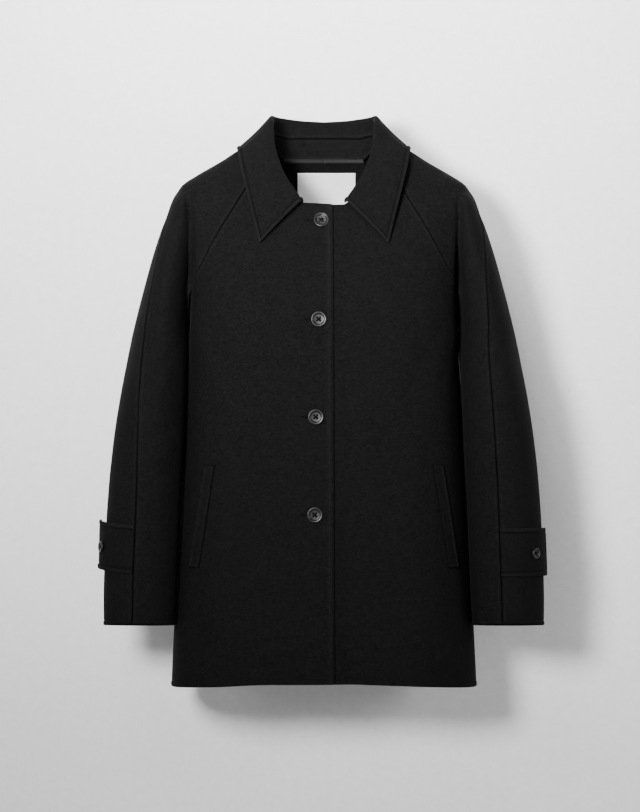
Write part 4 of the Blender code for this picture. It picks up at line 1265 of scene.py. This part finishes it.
def ring_mesh(name, *tubes):
    """One mesh of closed tubes: rings of points about an axis, the first and last drawn to one point each."""
    points, faces, before = [], [], 0
    for rings in tubes:
        rows, columns = rings.shape[:2]
        number = np.arange(rows * columns).reshape(rows, columns) + before
        following = np.roll(number, -1, axis=1)
        cells = np.stack([number[:-1], following[:-1], following[1:], number[1:]], -1)
        faces.append(cells.reshape(-1, 4))
        points.append(rings.reshape(-1, 3))
        before += rows * columns
    return closed_mesh(name, np.concatenate(points), np.concatenate(faces), weld=True)


def placed(points, place, out):
    """Points given as (along, up, out) from a place on the coat."""
    level, up = frame_of(out)
    return place + points[..., :1] * level + points[..., 1:2] * up + points[..., 2:] * out


def make_button(name, across, place, out, horn, thread):
    """A button and the thread that sews it on."""
    rings = placed(button_points(across), place, out)
    button = add_piece(ring_mesh(f"{name}_horn", rings), horn, "button", name)
    strands = [placed(strand, place, out) for strand in thread_points(across)]
    sewn = add_piece(ring_mesh(f"{name}_thread", *strands), thread, "button")
    return [button, sewn]


def make_buttonhole(number, x, z, thread):
    """A worked buttonhole that starts under its button: a ring of close stitches round a slit."""
    turn = np.linspace(0, 2 * math.pi, BUTTONHOLE_STEPS)
    straight = BUTTONHOLE_LENGTH / 2 - BUTTONHOLE_HALF_WIDTH
    ends = np.tanh(BUTTONHOLE_SQUARE * np.cos(turn)) / math.tanh(BUTTONHOLE_SQUARE)
    along = x - BUTTONHOLE_SHIFT + straight * ends + BUTTONHOLE_HALF_WIDTH * np.cos(turn)
    up = z + BUTTONHOLE_HALF_WIDTH * np.sin(turn)
    points, out = body_surface(along, up)
    stitches = BUTTONHOLE_THREAD * (1 + STITCH_SHARE * np.sin(turn * BUTTONHOLE_STITCHES))
    ring = tube(points + out * BUTTONHOLE_LIFT, stitches, BUTTONHOLE_SIDES)
    return add_piece(ring_mesh(f"buttonhole_{number}", ring), thread, "wool")


def make_buttons(horn, thread):
    """Front buttons and buttonholes, then the buttons on the cuff tabs. Gives those of the two fronts."""
    on_left, on_right = [], []
    for number, (x, z) in enumerate(FRONT_BUTTONS, 1):
        point, out = body_surface(np.float64(x), np.float64(z))
        place = point + out * TRIM_GAP
        on_left += make_button(f"button_front_{number}", FRONT_BUTTON_ACROSS, place, out, horn, thread)
        on_right.append(make_buttonhole(number, x, z, thread))
    for side, word in SIDES:
        points = tab_grid(side, TAB_GRID[0], TAB_BUTTON_COLUMNS)
        out = outward(points, (side, -1, 0))
        share = 1 - TAB_BUTTON_FROM_END[side] / TAB_LENGTH
        spot = (len(points) // 2, round(share * (TAB_BUTTON_COLUMNS - 1)))
        place = points[spot] + out[spot] * 2 * TRIM_GAP
        make_button(f"button_cuff_{word}", CUFF_BUTTON_ACROSS, place, out[spot], horn, thread)
    return on_left, on_right


class Finish:
    """A material's nodes, and short ways to add and link them."""

    def __init__(self, name, roughness):
        self.material = bpy.data.materials.new(name)
        self.material.use_nodes = True
        self.nodes = self.material.node_tree.nodes
        self.links = self.material.node_tree.links
        self.shader = self.nodes["Principled BSDF"]
        self.shader.inputs["Roughness"].default_value = roughness
        self.place = self.nodes.new("ShaderNodeTexCoord").outputs["Object"]

    def noise(self, scale, detail=3.0, stretch=(1, 1, 1), roughness=0.6):
        """Noise with features about 1/scale metres across, stretched along the axes."""
        mapping = self.nodes.new("ShaderNodeMapping")
        mapping.inputs["Scale"].default_value = stretch
        self.links.new(self.place, mapping.inputs["Vector"])
        noise = self.nodes.new("ShaderNodeTexNoise")
        noise.inputs["Scale"].default_value = scale
        noise.inputs["Detail"].default_value = detail
        noise.inputs["Roughness"].default_value = roughness
        self.links.new(mapping.outputs["Vector"], noise.inputs["Vector"])
        return noise.outputs["Fac"]

    def math(self, operation, first, second):
        """Two values or numbers, put together."""
        node = self.nodes.new("ShaderNodeMath")
        node.operation = operation
        for socket, value in zip(node.inputs, (first, second)):
            if isinstance(value, (int, float)):
                socket.default_value = value
            else:
                self.links.new(value, socket)
        return node.outputs[0]

    def weighted(self, *terms):
        """The sum of values, each times its share."""
        parts = [self.math("MULTIPLY", value, share) for value, share in terms]
        total = parts[0]
        for part in parts[1:]:
            total = self.math("ADD", total, part)
        return total

    def ramp(self, value, *stops):
        """Colours at places of a value from 0 to 1."""
        node = self.nodes.new("ShaderNodeValToRGB")
        elements = node.color_ramp.elements
        while len(elements) < len(stops):
            elements.new(0.5)
        for element, (position, color) in zip(elements, stops):
            element.position = position
            element.color = (*color, 1)
        self.links.new(value, node.inputs["Fac"])
        return node.outputs["Color"]

    def link(self, value, socket):
        """Lets a value drive one of the finish's sockets."""
        self.links.new(value, self.shader.inputs[socket])

    def bump(self, height, strength, depth):
        """Small relief, up to a depth in metres."""
        node = self.nodes.new("ShaderNodeBump")
        node.inputs["Strength"].default_value = strength
        node.inputs["Distance"].default_value = depth
        self.links.new(height, node.inputs["Height"])
        self.links.new(node.outputs["Normal"], self.shader.inputs["Normal"])


def wool_finish():
    """Brushed black wool: felted fibres that lie mostly level, small specks and slow mottling. Its colour
    carries painted highlights on edges and painted shade in grooves and seams.
    """
    finish = Finish("black_wool", roughness=0.9)
    fibres = finish.noise(420, detail=4, stretch=(0.62, 0.62, 1.15))
    specks = finish.noise(1300, detail=2)
    mottling = finish.noise(70, detail=3)
    mixed = finish.weighted((fibres, 0.66), (specks, 0.22), (mottling, 0.12))
    # The point attribute multiplies the wool's colour: painted highlight on lips and ridges, painted shade in
    # grooves and seams
    edge_shading_factor = finish.nodes.new("ShaderNodeAttribute")
    edge_shading_factor.attribute_name = "painted_edge_shading"
    shaded = finish.nodes.new("ShaderNodeVectorMath")
    shaded.operation = "SCALE"
    finish.links.new(finish.ramp(mixed, (0.32, WOOL_DARK), (0.68, WOOL_LIGHT)), shaded.inputs[0])
    finish.links.new(edge_shading_factor.outputs["Fac"], shaded.inputs["Scale"])
    finish.link(shaded.outputs["Vector"], "Base Color")
    finish.bump(finish.weighted((fibres, 0.75), (specks, 0.25)), strength=0.6, depth=0.0008)
    finish.shader.inputs["Specular IOR Level"].default_value = 0.03
    finish.shader.inputs["Sheen Weight"].default_value = 0.012
    finish.shader.inputs["Sheen Roughness"].default_value = 0.3
    return finish.material


def satin_finish():
    """Dark satin tape with fine ribs across it."""
    finish = Finish("dark_satin", roughness=0.55)
    finish.shader.inputs["Specular IOR Level"].default_value = 0.1
    ribs = finish.noise(900, detail=2, stretch=(3.0, 0.2, 0.2))
    finish.link(finish.ramp(ribs, (0.3, (0.002,) * 3), (0.7, (0.0045,) * 3)), "Base Color")
    finish.bump(ribs, strength=0.3, depth=0.0002)
    return finish.material


def label_finish():
    """White woven cloth: fine threads both ways."""
    finish = Finish("white_label", roughness=0.62)
    warp = finish.noise(1200, detail=1, stretch=(3.0, 1.0, 0.25))
    weft = finish.noise(1200, detail=1, stretch=(0.25, 1.0, 3.0))
    weave = finish.weighted((warp, 0.5), (weft, 0.5))
    finish.link(finish.ramp(weave, (0.3, (0.64, 0.64, 0.63)), (0.7, (0.77, 0.77, 0.76))), "Base Color")
    finish.bump(weave, strength=0.25, depth=0.0002)
    return finish.material


def horn_finish():
    """Dark grey horn: cloudy streaks under a soft polish, a little rougher where it is cloudy."""
    finish = Finish("dark_horn", roughness=0.35)
    finish.shader.inputs["Specular IOR Level"].default_value = 0.3
    clouds = finish.noise(260, detail=4, stretch=(1.0, 1.0, 0.35))
    finish.link(finish.ramp(clouds, (0.3, HORN_DARK), (0.7, HORN_LIGHT)), "Base Color")
    finish.link(finish.ramp(clouds, (0.2, (0.26,) * 3), (0.8, (0.46,) * 3)), "Roughness")
    finish.bump(finish.noise(1500, detail=2), strength=0.1, depth=0.0001)
    return finish.material


def thread_finish():
    """Black twisted thread."""
    finish = Finish("black_thread", roughness=0.8)
    finish.shader.inputs["Specular IOR Level"].default_value = 0.05
    twist = finish.noise(2600, detail=2, stretch=(1.0, 1.0, 0.4))
    finish.link(finish.ramp(twist, (0.3, (0.001,) * 3), (0.7, (0.003,) * 3)), "Base Color")
    finish.bump(twist, strength=0.4, depth=0.0002)
    return finish.material


def flat_sheet(name, corners, finish):
    """A flat sheet of the stage through four corners."""
    mesh = bpy.data.meshes.new(name)
    mesh.from_pydata(corners, [], [(0, 1, 2, 3)])
    mesh.materials.append(finish)
    sheet = bpy.data.objects.new(name, mesh)
    bpy.context.scene.collection.objects.link(sheet)
    return sheet


def wall_finish():
    """Pale plastered wall, seen from its front alone: from behind it lets the view through to the coat."""
    finish = Finish("pale_wall", roughness=0.9)
    grain = finish.noise(90, detail=4)
    finish.link(finish.ramp(grain, (0.3, WALL_DARK), (0.7, WALL_LIGHT)), "Base Color")
    finish.bump(finish.noise(160, detail=3), strength=0.12, depth=0.002)
    clear = finish.nodes.new("ShaderNodeBsdfTransparent")
    mix = finish.nodes.new("ShaderNodeMixShader")
    side = finish.nodes.new("ShaderNodeNewGeometry").outputs["Backfacing"]
    finish.links.new(side, mix.inputs["Fac"])
    finish.links.new(finish.shader.outputs["BSDF"], mix.inputs[1])
    finish.links.new(clear.outputs["BSDF"], mix.inputs[2])
    finish.links.new(mix.outputs["Shader"], finish.nodes["Material Output"].inputs["Surface"])
    return finish.material


def floor_finish():
    """Pale smooth floor."""
    finish = Finish("pale_floor", roughness=0.8)
    finish.link(finish.ramp(finish.noise(40, detail=4), (0.3, (0.60,) * 3), (0.7, (0.66,) * 3)), "Base Color")
    return finish.material


def area_light(name, place, aim, size, power, spread):
    """A round light at a place, turned to its aim."""
    data = bpy.data.lights.new(name, "AREA")
    data.shape = "DISK"
    data.size = size
    data.energy = power
    data.spread = math.radians(spread)
    light = bpy.data.objects.new(name, data)
    light.location = place
    way = np.array(aim, float) - np.array(place, float)
    flat = math.hypot(way[0], way[1])
    light.rotation_euler = (math.atan2(flat, -way[2]), 0.0, math.atan2(-way[0], way[1]))
    bpy.context.scene.collection.objects.link(light)
    return light


def make_stage():
    """A pale wall close behind the coat, a pale floor well below it, and soft studio lights."""
    half, reach = WALL_HALF_WIDTH, FLOOR_REACH
    ends = ((-half, FLOOR_Z), (half, FLOOR_Z), (half, WALL_TOP), (-half, WALL_TOP))
    wall = flat_sheet("wall", [(x, WALL_Y, z) for x, z in ends], wall_finish())
    wall.visible_shadow = False
    ends = ((-reach, -reach), (reach, -reach), (reach, reach), (-reach, reach))
    flat_sheet("floor", [(x, y, FLOOR_Z) for x, y in ends], floor_finish())
    for light in LIGHTS:
        area_light(*light)
    world = bpy.data.worlds.new("studio")
    world.use_nodes = True
    back = world.node_tree.nodes["Background"]
    back.inputs["Color"].default_value = (*WORLD_COLOR, 1)
    back.inputs["Strength"].default_value = WORLD_STRENGTH
    bpy.context.scene.world = world


def make_camera():
    """A long lens level with the coat's middle, straight in front of it."""
    data = bpy.data.cameras.new("camera")
    data.sensor_width = SENSOR
    data.lens = SENSOR * CAMERA_DISTANCE / FRAME_HEIGHT
    camera = bpy.data.objects.new("camera", data)
    camera.location = (CAMERA_X, -CAMERA_DISTANCE, CAMERA_Z)
    camera.rotation_euler = (math.pi / 2, 0, 0)
    bpy.context.scene.collection.objects.link(camera)
    bpy.context.scene.camera = camera


def main():
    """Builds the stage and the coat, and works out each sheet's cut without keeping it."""
    make_camera()
    make_stage()
    wool, thread = wool_finish(), thread_finish()
    body = make_body(wool)
    make_sleeves(wool)
    make_collar(wool)
    make_welts(wool)
    make_tabs(wool)
    make_neck_tape(satin_finish())
    make_label(label_finish())
    on_left, on_right = make_buttons(horn_finish(), thread)
    declare_cut(*body["front_right"], "hung", ["collar_stand_cloth"], on_right)
    declare_cut(*body["front_left"], "hung", ["collar_stand_cloth"], on_left)
    declare_cut(*body["back"], "hung", ["collar_stand_cloth"])


main()
